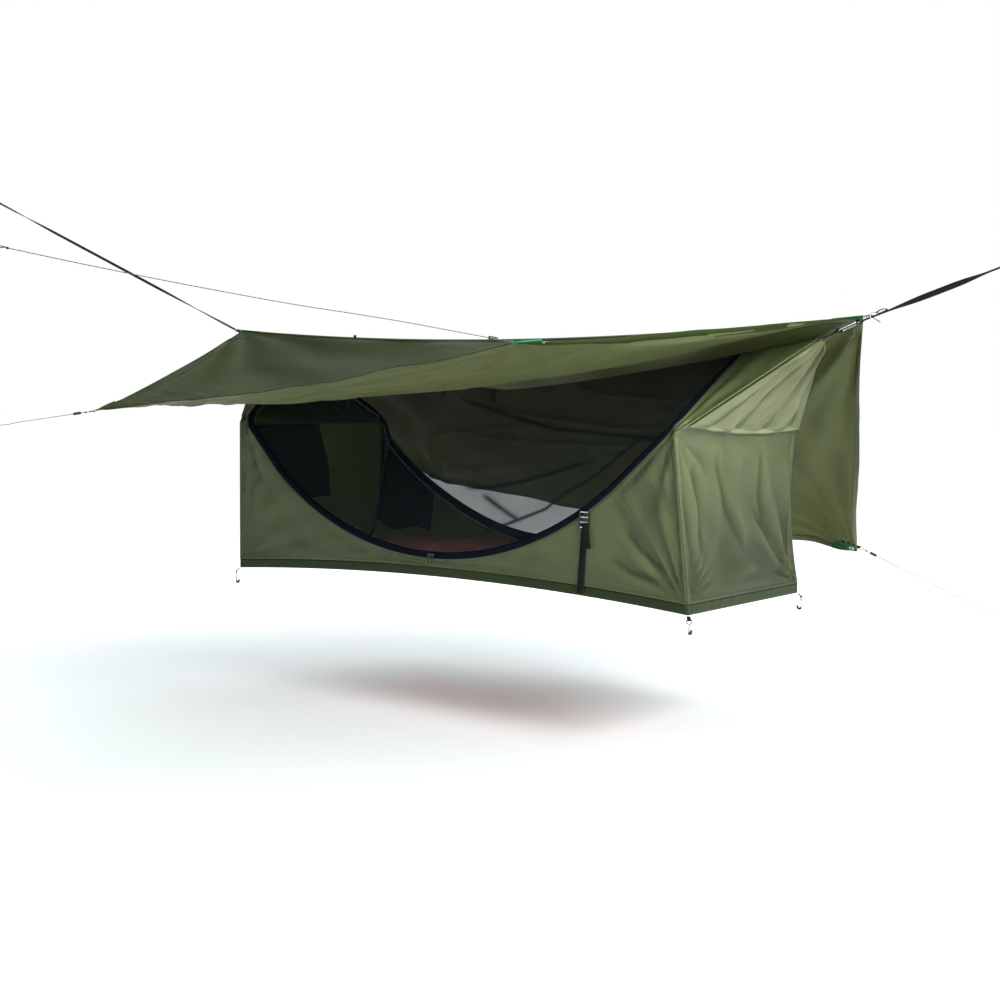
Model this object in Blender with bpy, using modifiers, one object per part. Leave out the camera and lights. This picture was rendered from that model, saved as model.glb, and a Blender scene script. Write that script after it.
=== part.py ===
"""Hammock tent slung between two tree straps, with a ridge tarp pitched as a porch.

Metres, +Z up, +X along the tent towards its right end, +Y towards its rear.
The origin is the middle of the line that the body hangs and sways on.
Heights in the sizes below are counted from the floor; the hang frame lowers them all.
"""

import math

import bpy
import bmesh
from mathutils import Matrix, Vector

# Body of the tent
floor_length = 2.00
floor_width = 0.76
floor_bow = 0.038
floor_waist = 0.030
tub_height = 0.035
tub_columns = 26
tub_rows = 10
spreader_height = 0.565
spreader_span = 0.84
spreader_inset_depth = 0.040
rear_seam_hollow = 0.024
peak_span = 2.51
peak_height = 0.875
ridge_mid_height = 0.700
ridge_curve_share = 1.26
peak_trim = 0.014

# Round doors, one each side; the zip follows an arc low down and a straight run to the roof
door_radius = 1.16
door_low_height = 0.117
door_middle_offset = -0.050
door_depth = 0.365
door_corner_height = 0.592
door_corner_distance = 0.945
door_corner_depth = 0.408
front_door_angle = math.radians(40)
rear_door_angle = math.radians(45)
front_roof_distance = 0.955
rear_roof_distance = 1.080
rear_corner_drop = 0.012
corner_round_share = 0.22

# Cloth, net and tape
wall_cloth = 0.0010
tub_cloth = 0.0012
net_cloth = 0.0008
net_sag = 0.012
tape_width = 0.028
tape_thickness = 0.0022
seam_gap = 0.0006
corner_clearance = 0.0036
roof_end_clearance = 0.0041
net_edge_gap = 0.0016
touch_gap = 0.0004
wall_fold = 0.0045
end_fold = 0.0060
end_columns = 12
end_rows = 14
end_fold_row = 8
end_fold_calm_share = 0.12
wall_columns = 48
wall_rows = 5

# Spreader bars and the covers over them
bar_radius = 0.0045
ridge_cord_radius = 0.0022
bar_end_clearance = 0.030
bar_drop_height = 0.003
cover_height = 0.050
cover_drop_share = 0.2
cover_lift = 0.004
cover_side_clearance = 0.010

# Sleeping pad
pad_length = 1.80
pad_width = 0.54
pad_thickness = 0.092
pad_channel_depth = 0.006
pad_channels = 5
pad_corner = 0.12

# Zip pulls
slider_size = Vector((0.014, 0.005, 0.012))
slider_round = 0.0012
slider_space = 0.0016
pull_radius = 0.0012
pull_length = 0.024
pull_width = 0.005

# Webbing, loops and clips
strap_width = 0.020
strap_ply = 0.0012
clip_wire = 0.0025
clip_length = 0.062
clip_width = 0.036
clip_corner = 0.008
eye_radius = 0.0062
eye_slack = 0.0029
eye_sides = 24
small_eye_sides = 14
peak_loop_length = 0.060
peak_loop_tuck = 0.0003
lead_slope = math.radians(22)
left_strap_slope = math.radians(21.2)
right_strap_slope = math.radians(19.0)
left_strap_distance = 3.16
right_strap_distance = 1.92
tree_loop_length = 0.070
tree_loop_radius = 0.012
gate_gap = 0.0006
gate_share = 0.55

# Tarp
ridge_overhang = 0.130
ridge_end_height = 0.940
ridge_sag = 0.055
tarp_cloth = 0.0010
tarp_seam = 0.0012
front_left = Vector((-0.935, -1.120, 0.610))
front_right = Vector((0.959, -1.250, 0.819))
rear_right = Vector((0.911, 1.080, 0.107))
rear_left = Vector((-1.171, 1.040, 0.288))
front_trough = 0.105
rear_billow = 0.026
front_side_hollow = 0.050
rear_side_hollow = 0.012
front_edge_sag = 0.012
rear_edge_sag = 0.020
front_edge_hollow = 0.050
rear_edge_hollow = 0.030
tarp_fold = 0.004

# Tarp ends on the straps
tarp_ring_distance = 0.030
tarp_ring_wire = 0.0015
tarp_ring_clearance = 0.0012
tarp_tab_lap = 0.100

# Corner loops, guylines and line locks
corner_webbing_width = 0.012
corner_webbing_length = 0.045
corner_eye = 0.0032
corner_lead_share = 0.6
guy_radius = 0.0011
guy_loop_length = 0.020
guy_loop_side_clearance = 0.0035
lock_size = Vector((0.026, 0.009, 0.008))
lock_bore = 0.0021
lock_place = 0.060
lock_round = 0.0010
front_left_guy_end = Vector((-1.262, -1.350, 0.548))
front_right_guy_end = Vector((0.361, -2.470, 1.008))
rear_right_guy_end = Vector((1.421, 1.450, -0.192))
guy_sag_share = 0.006
end_loop_length = 0.060
end_loop_width = 0.024

# Small fittings on the body
tab_width = 0.012
tab_length = 0.016
tab_eye = 0.0022
hook_wire = 0.0014
hook_ring = 0.012
hook_shank = 0.020
hook_bend = 0.007
hook_turn = math.radians(45)
tab_drop = math.radians(38)
ceiling_loop_size = Vector((0.026, 0.005, 0.048))
ceiling_loop_wall = 0.0018
left_ceiling_loop_offset = -0.295
right_ceiling_loop_offset = -0.060
tie_size = Vector((0.010, 0.006, 0.060))
tie_wall = 0.0015
tie_reach_share = 0.375
tie_depth_share = 0.50

# Front strap
front_strap_distance = 0.600
front_strap_lean_width = 0.015
front_strap_width = 0.026
front_strap_cloth = 0.0014
buckle_width = 0.040
buckle_height = 0.056
buckle_thickness = 0.004
buckle_bar = 0.006
buckle_slots = 3
buckle_corner = 0.005
tail_length = 0.085
tail_flare = 0.016

# Mesh pockets, as rows and columns of the wall that they lie on
end_pocket_columns = (1, 7)
end_pocket_rows = (4, 7)
rear_pocket_columns = (16, 20)
rear_pocket_rows = (1, 4)

# Worked out from the sizes above
half_floor = floor_length / 2
half_width = floor_width / 2
half_bar = spreader_span / 2
half_peaks = peak_span / 2
ridge_span = peak_span + 2 * ridge_overhang
spreader_reach = half_floor - spreader_inset_depth
door_centre_height = door_low_height + door_radius
clip_reach = peak_loop_length + clip_length
hang_height = peak_height + clip_reach * math.sin(lead_slope)
hang_reach = half_peaks + clip_reach * math.cos(lead_slope)

parts = bpy.data.collections.new("hammock_tent")
cutters = bpy.data.collections.new("cutters")
bodies = {}


def clear_scene():
    for thing in list(bpy.data.objects):
        bpy.data.objects.remove(thing, do_unlink=True)
    bpy.context.scene.collection.children.link(parts)
    bpy.context.scene.collection.children.link(cutters)
    cutters.hide_render = True


def finish(name, colour, roughness, metallic=0.0):
    material = bpy.data.materials.new(name)
    material.use_nodes = True
    shader = material.node_tree.nodes["Principled BSDF"]
    shader.inputs["Base Color"].default_value = (*colour, 1.0)
    shader.inputs["Roughness"].default_value = roughness
    shader.inputs["Metallic"].default_value = metallic
    return material


def add_body(name, pivot, parent=None):
    """An empty on the joint that carries a moving body; places are counted from the floor."""
    pivot = Vector(pivot)
    carrier = bpy.data.objects.new(name, None)
    parts.objects.link(carrier)
    if parent is None:
        carrier.location = pivot - Vector((0, 0, hang_height))
        bodies[name] = (carrier, pivot)
        return
    carrier.parent = bodies[parent][0]
    carrier.location = pivot - bodies[parent][1]
    bodies[name] = (carrier, pivot)


def hang(name, data, material, body, place=None):
    """Adds an object at a place counted from the floor, and hangs it on its body."""
    thing = bpy.data.objects.new(name, data)
    data.materials.append(material)
    parts.objects.link(thing)
    carrier, pivot = bodies[body]
    thing.parent = carrier
    thing.matrix_parent_inverse = Matrix.Translation(-pivot)
    if place is not None:
        thing.matrix_basis = place
    return thing


def sheet(name, cells, place, thickness, material, body, even=False):
    """A sewn sheet: a grid laid by place(across, up), each from 0 to 1, and given its thickness."""
    grid = bmesh.new()
    bmesh.ops.create_grid(grid, x_segments=cells[0], y_segments=cells[1], size=0.5)
    for vertex in grid.verts:
        vertex.co = place(vertex.co.x + 0.5, vertex.co.y + 0.5)
    bmesh.ops.remove_doubles(grid, verts=grid.verts, dist=touch_gap / 4)
    mesh = bpy.data.meshes.new(name)
    grid.to_mesh(mesh)
    grid.free()
    mesh.shade_smooth()
    thing = hang(name, mesh, material, body)
    cloth = thing.modifiers.new("cloth", "SOLIDIFY")
    cloth.thickness = thickness
    cloth.offset = 0.0
    cloth.use_even_offset = even
    return thing


def tube(name, points, radius, material, body, place=None):
    """A round cord or wire through the points, with closed ends."""
    curve = bpy.data.curves.new(name, "CURVE")
    curve.dimensions = "3D"
    curve.bevel_depth = radius
    curve.bevel_resolution = 2
    curve.use_fill_caps = True
    spline = curve.splines.new("POLY")
    spline.points.add(len(points) - 1)
    for target, point in zip(spline.points, points):
        target.co = (*point, 1.0)
    return hang(name, curve, material, body, place)


def plate(name, outlines, width, material, body, place):
    """A flat outline with its holes, cut width deep about its own plane."""
    curve = bpy.data.curves.new(name, "CURVE")
    curve.dimensions = "2D"
    curve.fill_mode = "BOTH"
    curve.extrude = width / 2
    for outline in outlines:
        spline = curve.splines.new("POLY")
        spline.points.add(len(outline) - 1)
        for target, point in zip(spline.points, outline):
            target.co = (point[0], point[1], 0.0, 1.0)
        spline.use_cyclic_u = True
    return hang(name, curve, material, body, place)


def block(name, size, rounding, material, body, place):
    """A small moulded block with rounded edges."""
    shape = bmesh.new()
    bmesh.ops.create_cube(shape, size=1.0, matrix=Matrix.Diagonal((*size, 1.0)))
    mesh = bpy.data.meshes.new(name)
    shape.to_mesh(mesh)
    shape.free()
    thing = hang(name, mesh, material, body, place)
    edges = thing.modifiers.new("edges", "BEVEL")
    edges.width = rounding
    edges.segments = 1
    return thing


def frame_along(origin, along, across):
    """A frame with X along, Z as near across as it can be, and Y completing it."""
    x = Vector(along).normalized()
    z = Vector(across)
    z = (z - x * z.dot(x)).normalized()
    y = z.cross(x)
    turned = Matrix((x, y, z)).transposed().to_4x4()
    return Matrix.Translation(origin) @ turned


def arc(centre, radius, start, end, steps):
    """Points on an arc; angles in radians, from start to end."""
    angles = [start + (end - start) * step / steps for step in range(steps + 1)]
    return [(centre[0] + radius * math.cos(a), centre[1] + radius * math.sin(a)) for a in angles]


def half_turn(steps):
    return [math.pi * step / steps for step in range(steps + 1)]


def slot(length, radius, centre=(0.0, 0.0), steps=6):
    """A slot outline with round ends, along X from the centre."""
    quarter = math.pi / 2
    near = arc(centre, radius, quarter, 3 * quarter, steps)
    far = arc((centre[0] + length, centre[1]), radius, -quarter, quarter, steps)
    return near + far


def rounded(width, height, corner, centre=(0.0, 0.0), steps=3):
    """A rectangle outline with rounded corners."""
    quarter = math.pi / 2
    points = []
    for turn, (sx, sy) in enumerate(((1, 1), (-1, 1), (-1, -1), (1, -1))):
        middle = (
            centre[0] + sx * (width / 2 - corner),
            centre[1] + sy * (height / 2 - corner),
        )
        points += arc(middle, corner, turn * quarter, (turn + 1) * quarter, steps)
    return points


def webbing(length, eye, ply, sides, far_loop=None):
    """Side outline of a folded strap: an eye at the origin, its two plies, and a far loop or a cut end."""
    outer = eye + ply
    lean = math.asin(ply / outer)
    outline = arc((0, 0), outer, lean, 2 * math.pi - lean, sides)
    holes = [arc((0, 0), eye, 0, 2 * math.pi * (sides - 1) / sides, sides - 1)]
    if far_loop is None:
        outline += [(length, -ply), (length, ply)]
        return [outline] + holes
    far_length, far_radius = far_loop
    far_outer = far_radius + ply
    far_lean = math.asin(ply / far_outer)
    outline += arc((length, 0), far_outer, math.pi + far_lean, math.pi * 1.5, 4)
    outline += arc((length + far_length, 0), far_outer, -math.pi / 2, math.pi / 2, 8)
    outline += arc((length, 0), far_outer, math.pi / 2, math.pi - far_lean, 4)
    holes.append(slot(far_length, far_radius, (length, 0)))
    return [outline] + holes


# Shape of the body
def side_point(share, side):
    """A point up the corner from the floor to the spreader, on the right-hand end."""
    rim_share = tub_height / spreader_height
    above = max(0.0, (share - rim_share) / (1 - rim_share))
    hollow = rear_seam_hollow * 4 * above * (1 - above) if side > 0 else 0.0
    return Vector((
        half_floor - spreader_inset_depth * share - hollow,
        side * (half_width + (half_bar - half_width) * share),
        spreader_height * share,
    ))


def floor_edge(share, side, height=0.0):
    """The floor's long edge at a share of the half length, or that much of its rim above it."""
    bend = 1 - share * share
    lean = height / spreader_height
    return Vector((
        share * (half_floor - spreader_inset_depth * lean),
        side * (half_width - floor_waist * bend + (half_bar - half_width) * lean),
        floor_bow * bend + height,
    ))


def ridge_height(reach):
    share = min(1.0, abs(reach) / half_peaks)
    return ridge_mid_height + (peak_height - ridge_mid_height) * share ** ridge_curve_share


def peak(end):
    """Where the end wall, the roof and the ridge meet, cut back for the loop."""
    reach = half_peaks - peak_trim
    return Vector((end * reach, 0, ridge_height(reach)))


def smooth(share):
    return share * share * (3 - 2 * share)


def door_raw(station, side):
    """The zip line of a door: roof, side run, arc, side run, roof, over stations 0 to 6."""
    angle = front_door_angle if side < 0 else rear_door_angle
    roof_reach = front_roof_distance if side < 0 else rear_roof_distance
    drop = 0.0 if side < 0 else rear_corner_drop
    end = -1 if station < 3 else 1
    step = abs(station - 3)
    roof_depth = ridge_cord_radius + roof_end_clearance
    roof = Vector((end * roof_reach, side * roof_depth, ridge_height(roof_reach)))
    corner = Vector((end * door_corner_distance, side * door_corner_depth, door_corner_height - drop))
    if step <= 1:
        turn = angle * (station - 3)
        return Vector((
            door_middle_offset + door_radius * math.sin(turn),
            side * door_depth,
            door_centre_height - door_radius * math.cos(turn),
        ))
    arc_end = door_raw(3 + end, side)
    if step <= 2:
        return arc_end.lerp(corner, step - 1)
    return corner.lerp(roof, step - 2)


def door(station, side):
    """The zip line with its upper corners rounded."""
    near = min(abs(station - 1), abs(station - 5))
    spread = corner_round_share * max(0.0, 1 - near)
    total = Vector((0, 0, 0))
    for step in (-1.0, -0.5, 0.0, 0.5, 1.0):
        total += door_raw(min(6.0, max(0.0, station + spread * step)), side)
    return total / 5


def wall_foot(station, side):
    """The outer edge of a long wall: peak, spreader, floor corner, floor, over the same stations."""
    end = -1 if station < 3 else 1
    step = abs(station - 3)
    base = tub_height + seam_gap
    if step <= 1:
        foot = floor_edge(station - 3, side, base)
        foot.x *= 1 - corner_clearance / half_floor
        return foot
    tip = peak(1) + Vector((0, side * (ridge_cord_radius + wall_cloth + touch_gap), 0))
    if step <= 2:
        point = side_point((base + (spreader_height - base) * (step - 1)) / spreader_height, side)
    else:
        point = side_point(1.0, side).lerp(tip, step - 2)
    return Vector((end * (point.x - corner_clearance), point.y, point.z))


def roof_line(station, side):
    """The net's top edge beside the ridge cord."""
    reach = front_roof_distance if side < 0 else rear_roof_distance
    inside = reach - tape_width / 2 - net_edge_gap
    x = inside * (station - 3) / 2
    return Vector((x, side * (ridge_cord_radius + net_cloth + touch_gap), ridge_height(x)))


def beside_zip(station, side, towards, offset):
    """A point beside the zip line, at an offset towards the wall or the net."""
    step = 0.02
    here = door(station, side)
    ahead = door(min(6.0, station + step), side) - door(max(0.0, station - step), side)
    ahead.normalize()
    away = towards - here
    away -= ahead * away.dot(ahead)
    return here + away.normalized() * offset


def net_side(station, side, offset):
    here = door(station, side)
    x = here.x * 0.6
    return beside_zip(station, side, Vector((x, 0, ridge_height(x))), offset)


def wall_side(station, side, offset):
    return beside_zip(station, side, wall_foot(station, side), offset)


def fade(share, edge):
    """Rises from 0 at both ends of 0 to 1 within an edge share."""
    return smooth(max(0.0, min(1.0, min(share, 1 - share) / edge)))


def wall_folds(station, up, reach):
    """Long soft creases towards the zip, which die out at the seams and at the front strap."""
    wave = math.sin(math.pi * (4.6 * station + 2.4 * up))
    wave += 0.5 * math.sin(math.pi * (9.1 * station - 3.2 * up))
    calm = 1.0 - math.exp(-((reach - front_strap_distance) / (front_strap_width * 4)) ** 2)
    return wall_fold * wave * fade(up, 0.4) * fade(station / 6, 0.10) * calm * 0.6


def wall_point(share, up, side):
    station = 6 * share
    foot = wall_foot(station, side)
    head = wall_side(station, side, tape_width / 2 + seam_gap)
    point = foot.lerp(head, up)
    point.y += side * wall_folds(station, up, point.x)
    return point


def net_point(share, up, side):
    station = 1 + 4 * share
    foot = net_side(station, side, tape_width / 2 + net_edge_gap)
    point = foot.lerp(roof_line(station, side), up)
    point.z -= net_sag * fade(share, 0.5) * 4 * up * (1 - up)
    return point


def tape_point(share, up, side):
    station = 6 * share
    half = tape_width / 2
    if up < 0.25:
        return wall_side(station, side, half)
    if up > 0.75:
        return net_side(station, side, half)
    return door(station, side)


def end_point(share, up, end):
    """The end wall: share from front to rear, up from the rim to the peak."""
    base = tub_height + seam_gap
    fold_at = end_fold_row / end_rows
    corners = []
    for side in (-1, 1):
        if up <= fold_at:
            height = base + (spreader_height - base) * up / fold_at
            corner = side_point(height / spreader_height, side)
        else:
            part = (up - fold_at) / (1 - fold_at)
            tip = peak(1) + Vector((0, side * strap_width / 2, 0))
            corner = side_point(1.0, side).lerp(tip, part)
        corner.y -= side * (seam_gap + wall_cloth)
        corners.append(corner)
    point = corners[0].lerp(corners[1], share)
    calm = 1 - math.exp(-((up - fold_at) / end_fold_calm_share) ** 2)
    depth = fade(share, 0.35) * (0.35 + 0.65 * fade(up, 0.3)) * fade(up, 0.12) * calm
    wave = math.sin(math.pi * (5.0 * share + 3.1 * up)) + 0.6 * math.sin(math.pi * (11.0 * share - 4.0 * up))
    point.x = end * (point.x + end_fold * 0.5 * wave * depth)
    return point


def tub_point(across, along):
    """The floor and its turned-up rim, which is the outer ring of the grid."""
    column = round(across * tub_columns)
    row = round(along * tub_rows)
    at_end = column in (0, tub_columns)
    height = tub_height if at_end or row in (0, tub_rows) else 0.0
    share = max(-1.0, min(1.0, 2 * (column - 1) / (tub_columns - 2) - 1))
    spread = max(-1.0, min(1.0, 2 * (row - 1) / (tub_rows - 2) - 1))
    edge = floor_edge(share, 1, height)
    return Vector((edge.x, spread * edge.y, height if at_end else edge.z))


def build_body_cloth(cloth, base_cloth, net, tape):
    sheet("floor_tub", (tub_columns, tub_rows), tub_point, tub_cloth, base_cloth, "tent_body", even=True)
    for name, side in (("front", -1), ("rear", 1)):
        sheet(
            name + "_wall", (wall_columns, wall_rows),
            lambda share, up, side=side: wall_point(share, up, side),
            wall_cloth, cloth, "tent_body",
        )
        sheet(
            name + "_net", (28, 4),
            lambda share, up, side=side: net_point(share, up, side),
            net_cloth, net, "tent_body",
        )
        sheet(
            name + "_zip_tape", (wall_columns, 2),
            lambda share, up, side=side: tape_point(share, up, side),
            tape_thickness, tape, "tent_body",
        )
    for name, end in (("left", -1), ("right", 1)):
        sheet(
            "end_wall_" + name, (end_columns, end_rows),
            lambda share, up, end=end: end_point(share, up, end),
            wall_cloth, cloth, "tent_body",
        )
        sheet(
            "bar_cover_" + name, (10, 2),
            lambda share, up, end=end: cover_point(share, up, end),
            wall_cloth, cloth, "tent_body",
        )


def cover_point(share, up, end):
    """The flap that hangs over a spreader bar, outside the end wall."""
    across = 2 * share - 1
    low = side_point(1.0 - cover_height * cover_drop_share / spreader_height, -1)
    fold_corner = side_point(1.0, -1)
    tip = peak(1)
    top_share = cover_height * (1 - cover_drop_share) / (peak_height - spreader_height)
    high = fold_corner.lerp(tip, top_share)
    lift = cover_lift
    gap = (wall_cloth + touch_gap * 2) / math.sin(math.pi / 4)
    if up < 0.25:
        corner = low
        x = corner.x + lift + gap
    elif up > 0.75:
        corner = high
        x = corner.x + gap
    else:
        corner = fold_corner
        x = corner.x + lift * 0.5 + gap
    width = abs(corner.y) - cover_side_clearance
    return Vector((end * x, across * width, corner.z))


def build_frame(alloy, cord_finish, black):
    for name, end in (("left", -1), ("right", 1)):
        x = end * (spreader_reach - wall_cloth / 2 - touch_gap - bar_radius)
        reach = half_bar - bar_end_clearance
        z = spreader_height - bar_drop_height
        inner = 0.92
        points = [Vector((x, reach * share, z)) for share in (-1, -inner, 0, inner, 1)]
        tube("spreader_bar_" + name, points, bar_radius, alloy, "tent_body")
    steps = 24
    reach = half_peaks - peak_trim - ridge_cord_radius * 2
    points = []
    for step in range(steps + 1):
        x = reach * (2 * step / steps - 1)
        points.append(Vector((x, 0, ridge_height(x))))
    tube("ridge_cord", points, ridge_cord_radius, cord_finish, "tent_body")
    for name, x in (("left", left_ceiling_loop_offset), ("right", right_ceiling_loop_offset)):
        hanging_loop("ceiling_loop_" + name, Vector((x, 0, ridge_height(x) - ridge_cord_radius - touch_gap)),
                     ceiling_loop_size, ceiling_loop_wall, black, "tent_body")


def hanging_loop(name, top, size, wall, material, body):
    """A sewn loop of ribbon that hangs from its top, open towards the front."""
    outer = rounded(size.x, size.z, size.x / 2 - touch_gap, (0, -size.z / 2), 5)
    inner = rounded(size.x - 2 * wall, size.z - 2 * wall, size.x / 2 - wall - touch_gap, (0, -size.z / 2), 5)
    place = frame_along(top, (1, 0, 0), (0, -1, 0))
    plate(name, [outer, inner], size.y, material, body, place)


def pad_point(across, along, upper):
    """The pad is flat below, crowned above, and drawn in along its channels."""
    u = -math.cos(math.pi * across)
    v = -math.cos(math.pi * along)
    round_share = 0.30
    x = u * pad_length / 2
    narrow = 1 - round_share * max(0.0, abs(u) - (1 - pad_corner)) / pad_corner * 0.35
    y = v * narrow * pad_width / 2
    full = (1 - u ** 8) * (1 - v ** 8)
    full = full ** 0.4
    base = floor_bow * (1 - (x / half_floor) ** 2) + tub_cloth / 2 + touch_gap
    middle = base + pad_thickness * 0.45
    if not upper:
        return Vector((x, y, middle + (base - middle) * min(1.0, full * 1.6)))
    groove = math.cos(math.pi * (v + 1) / 2 * pad_channels * 2) * 0.5 - 0.5
    crown = full * (pad_thickness * 0.55 + groove * pad_channel_depth * full)
    return Vector((x, y, middle + crown))


def build_pad(material):
    """Two laid grids share their rim, so they close into one soft solid."""
    shape = bmesh.new()
    for upper in (True, False):
        laid = bmesh.ops.create_grid(shape, x_segments=20, y_segments=16, size=0.5)
        for vertex in laid["verts"]:
            vertex.co = pad_point(vertex.co.x + 0.5, vertex.co.y + 0.5, upper)
    bmesh.ops.remove_doubles(shape, verts=shape.verts, dist=touch_gap / 4)
    bmesh.ops.recalc_face_normals(shape, faces=shape.faces)
    mesh = bpy.data.meshes.new("sleeping_pad")
    shape.to_mesh(mesh)
    shape.free()
    mesh.shade_smooth()
    hang("sleeping_pad", mesh, material, "tent_body")


def build_pockets(mesh_finish):
    """Flat pockets sewn inside the left end wall and the rear wall, a cloth's gap away."""
    inset = wall_cloth / 2 + net_cloth / 2 + seam_gap

    def end_pocket(share, up):
        left, right = end_pocket_columns
        low, high = end_pocket_rows
        point = end_point((left + (right - left) * share) / end_columns,
                          (low + (high - low) * up) / end_rows, -1)
        return point + Vector((inset, 0, 0))

    def rear_pocket(share, up):
        left, right = rear_pocket_columns
        low, high = rear_pocket_rows
        point = wall_point((left + (right - left) * share) / wall_columns,
                           (low + (high - low) * up) / wall_rows, 1)
        return point - Vector((0, inset, 0))

    end_cells = (end_pocket_columns[1] - end_pocket_columns[0], end_pocket_rows[1] - end_pocket_rows[0])
    rear_cells = (rear_pocket_columns[1] - rear_pocket_columns[0], rear_pocket_rows[1] - rear_pocket_rows[0])
    sheet("pocket_end", end_cells, end_pocket, net_cloth, mesh_finish, "tent_body")
    sheet("pocket_rear", rear_cells, rear_pocket, net_cloth, mesh_finish, "tent_body")


def build_zip_pulls(metal, cord_finish):
    """Two sliders that run on the arc of the front zip, each with its own pull."""
    depth = door_depth + tape_thickness / 2 + touch_gap + slider_size.y / 2
    turn = (slider_size.x / 2 + slider_space / 2) / door_radius
    for name, end in (("left", -1), ("right", 1)):
        centre = Vector((
            door_middle_offset + end * door_radius * math.sin(turn),
            -depth,
            door_centre_height - door_radius * math.cos(turn),
        ))
        lug = Vector((0, slider_size.y / 2 + touch_gap + pull_radius, slider_size.z / 2 - pull_radius * 2))
        pivot = Vector((centre.x, centre.y - lug.y, centre.z - lug.z))
        add_body("zip_slider_" + name, (door_middle_offset, -depth, door_centre_height), "tent_body")
        add_body("zip_pull_" + name, pivot, "zip_slider_" + name)
        block("slider_" + name, slider_size, slider_round, metal, "zip_slider_" + name,
              Matrix.Translation(centre))
        side = pull_width / 2
        points = [
            pivot + Vector((0, 0, 0)),
            pivot + Vector((-side * 0.7, 0, -side * 0.4)),
            pivot + Vector((-side, 0, -side * 1.4)),
            pivot + Vector((-side * 0.8, 0, -pull_length * 0.9)),
            pivot + Vector((0, 0, -pull_length)),
            pivot + Vector((side * 0.8, 0, -pull_length * 0.9)),
            pivot + Vector((side, 0, -side * 1.6)),
        ]
        tube("pull_" + name, points, pull_radius, cord_finish, "zip_pull_" + name)


def wall_under_strap():
    """How far out the front wall reaches under the strap, so that the strap lies just outside it."""
    depth = -door_depth - tape_thickness / 2 + wall_cloth / 2
    for column in range(wall_columns + 1):
        for row in range(wall_rows * 4 + 1):
            point = wall_point(column / wall_columns, row / (wall_rows * 4), -1)
            if abs(point.x - front_strap_distance) < front_strap_width:
                depth = min(depth, point.y)
    return depth


def build_front_strap(black, plastic):
    """The tension strap on the front wall, its ladder buckle and the hanging tail."""
    top_z = door_centre_height - math.sqrt(door_radius ** 2 - (front_strap_distance - door_middle_offset) ** 2)
    top_z -= tape_width * 0.35
    laid = wall_under_strap() - wall_cloth / 2 - touch_gap - front_strap_cloth / 2
    back = laid - front_strap_cloth / 2 - touch_gap
    buckle_middle = top_z - buckle_height / 2
    outline = rounded(buckle_width, buckle_height, buckle_corner)
    holes = []
    pitch = (buckle_height - buckle_bar) / buckle_slots
    for row in range(buckle_slots):
        middle = (0, -buckle_height / 2 + buckle_bar + pitch * (row + 0.5) - buckle_bar / 2)
        holes.append(rounded(front_strap_width + touch_gap * 4, pitch - buckle_bar, touch_gap * 2, middle, 1))
    place = frame_along(
        Vector((front_strap_distance, back - buckle_thickness / 2, buckle_middle)), (1, 0, 0), (0, -1, 0)
    )
    plate("ladder_buckle", [outline] + holes, buckle_thickness, plastic, "tent_body", place)
    low_share = (front_strap_distance - front_strap_lean_width) / half_floor
    low = floor_edge(low_share, -1, tub_height * 0.3)
    high_z = buckle_middle - buckle_height * 0.3

    def strap_point(share, up):
        x = front_strap_distance - front_strap_lean_width * (1 - up) + front_strap_width * (share - 0.5)
        return Vector((x, laid, low.z + (high_z - low.z) * up))

    def tail_point(share, up):
        x = front_strap_distance + front_strap_width * (share - 0.5) + front_strap_lean_width * 0.5 * (1 - up)
        out = back - buckle_thickness - touch_gap - front_strap_cloth / 2 - tail_flare * smooth(1 - up) * 0.6
        return Vector((x, out, buckle_middle - buckle_height * 0.15 - tail_length * (1 - up)))

    sheet("front_strap", (2, 8), strap_point, front_strap_cloth, black, "tent_body")
    sheet("strap_tail", (2, 6), tail_point, front_strap_cloth, black, "tent_body")


def hook_points():
    """A ring that hangs in the tab's eye along Z, then a shank and a turned J, all along X."""
    side = tab_width / 2 + hook_wire + touch_gap * 3
    points = [
        Vector((hook_ring, 0, -hook_wire * 1.6)),
        Vector((hook_ring * 0.75, 0, -side * 0.8)),
        Vector((hook_ring * 0.35, 0, -side)),
        Vector((hook_ring * 0.08, 0, -side * 0.97)),
        Vector((0, 0, -side * 0.86)),
        Vector((0, 0, side * 0.86)),
        Vector((hook_ring * 0.08, 0, side * 0.97)),
        Vector((hook_ring * 0.35, 0, side)),
        Vector((hook_ring * 0.75, 0, side * 0.8)),
        Vector((hook_ring * 1.1, 0, hook_wire)),
        Vector((hook_ring * 1.4, 0, 0)),
    ]
    low = hook_ring * 1.4 + hook_shank
    bend = [(hook_bend * math.sin(a), hook_bend * (1 - math.cos(a))) for a in half_turn(8)]
    for drop, out in bend + [(-hook_bend * 0.6, 2 * hook_bend)]:
        points.append(Vector((low + drop, out * math.cos(hook_turn), out * math.sin(hook_turn))))
    return points


def build_corner_hooks(black, plastic):
    corners = (("front_left", -1, -1), ("front_right", 1, -1), ("rear_right", 1, 1), ("rear_left", -1, 1))
    for name, end, side in corners:
        out = Vector((end, side, 0)).normalized()
        across = Vector((-out.y, out.x, 0))
        down = out * math.cos(tab_drop) - Vector((0, 0, 1)) * math.sin(tab_drop)
        corner = Vector((end * half_floor, side * half_width, 0))
        tail = corner + down * (tub_cloth + touch_gap)
        eye = tail + down * tab_length
        place = frame_along(eye, -down, across)
        plate("corner_tab_" + name, webbing(tab_length, tab_eye, strap_ply, small_eye_sides), tab_width,
              black, "tent_body", place)
        add_body("stake_hook_" + name, eye, "tent_body")
        seat = Matrix.Translation(Vector((0, 0, -(tab_eye - hook_wire - touch_gap))))
        hook_place = seat @ frame_along(eye, (0, 0, -1), across)
        tube("hook_" + name, hook_points(), hook_wire, plastic, "stake_hook_" + name, hook_place)


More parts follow.
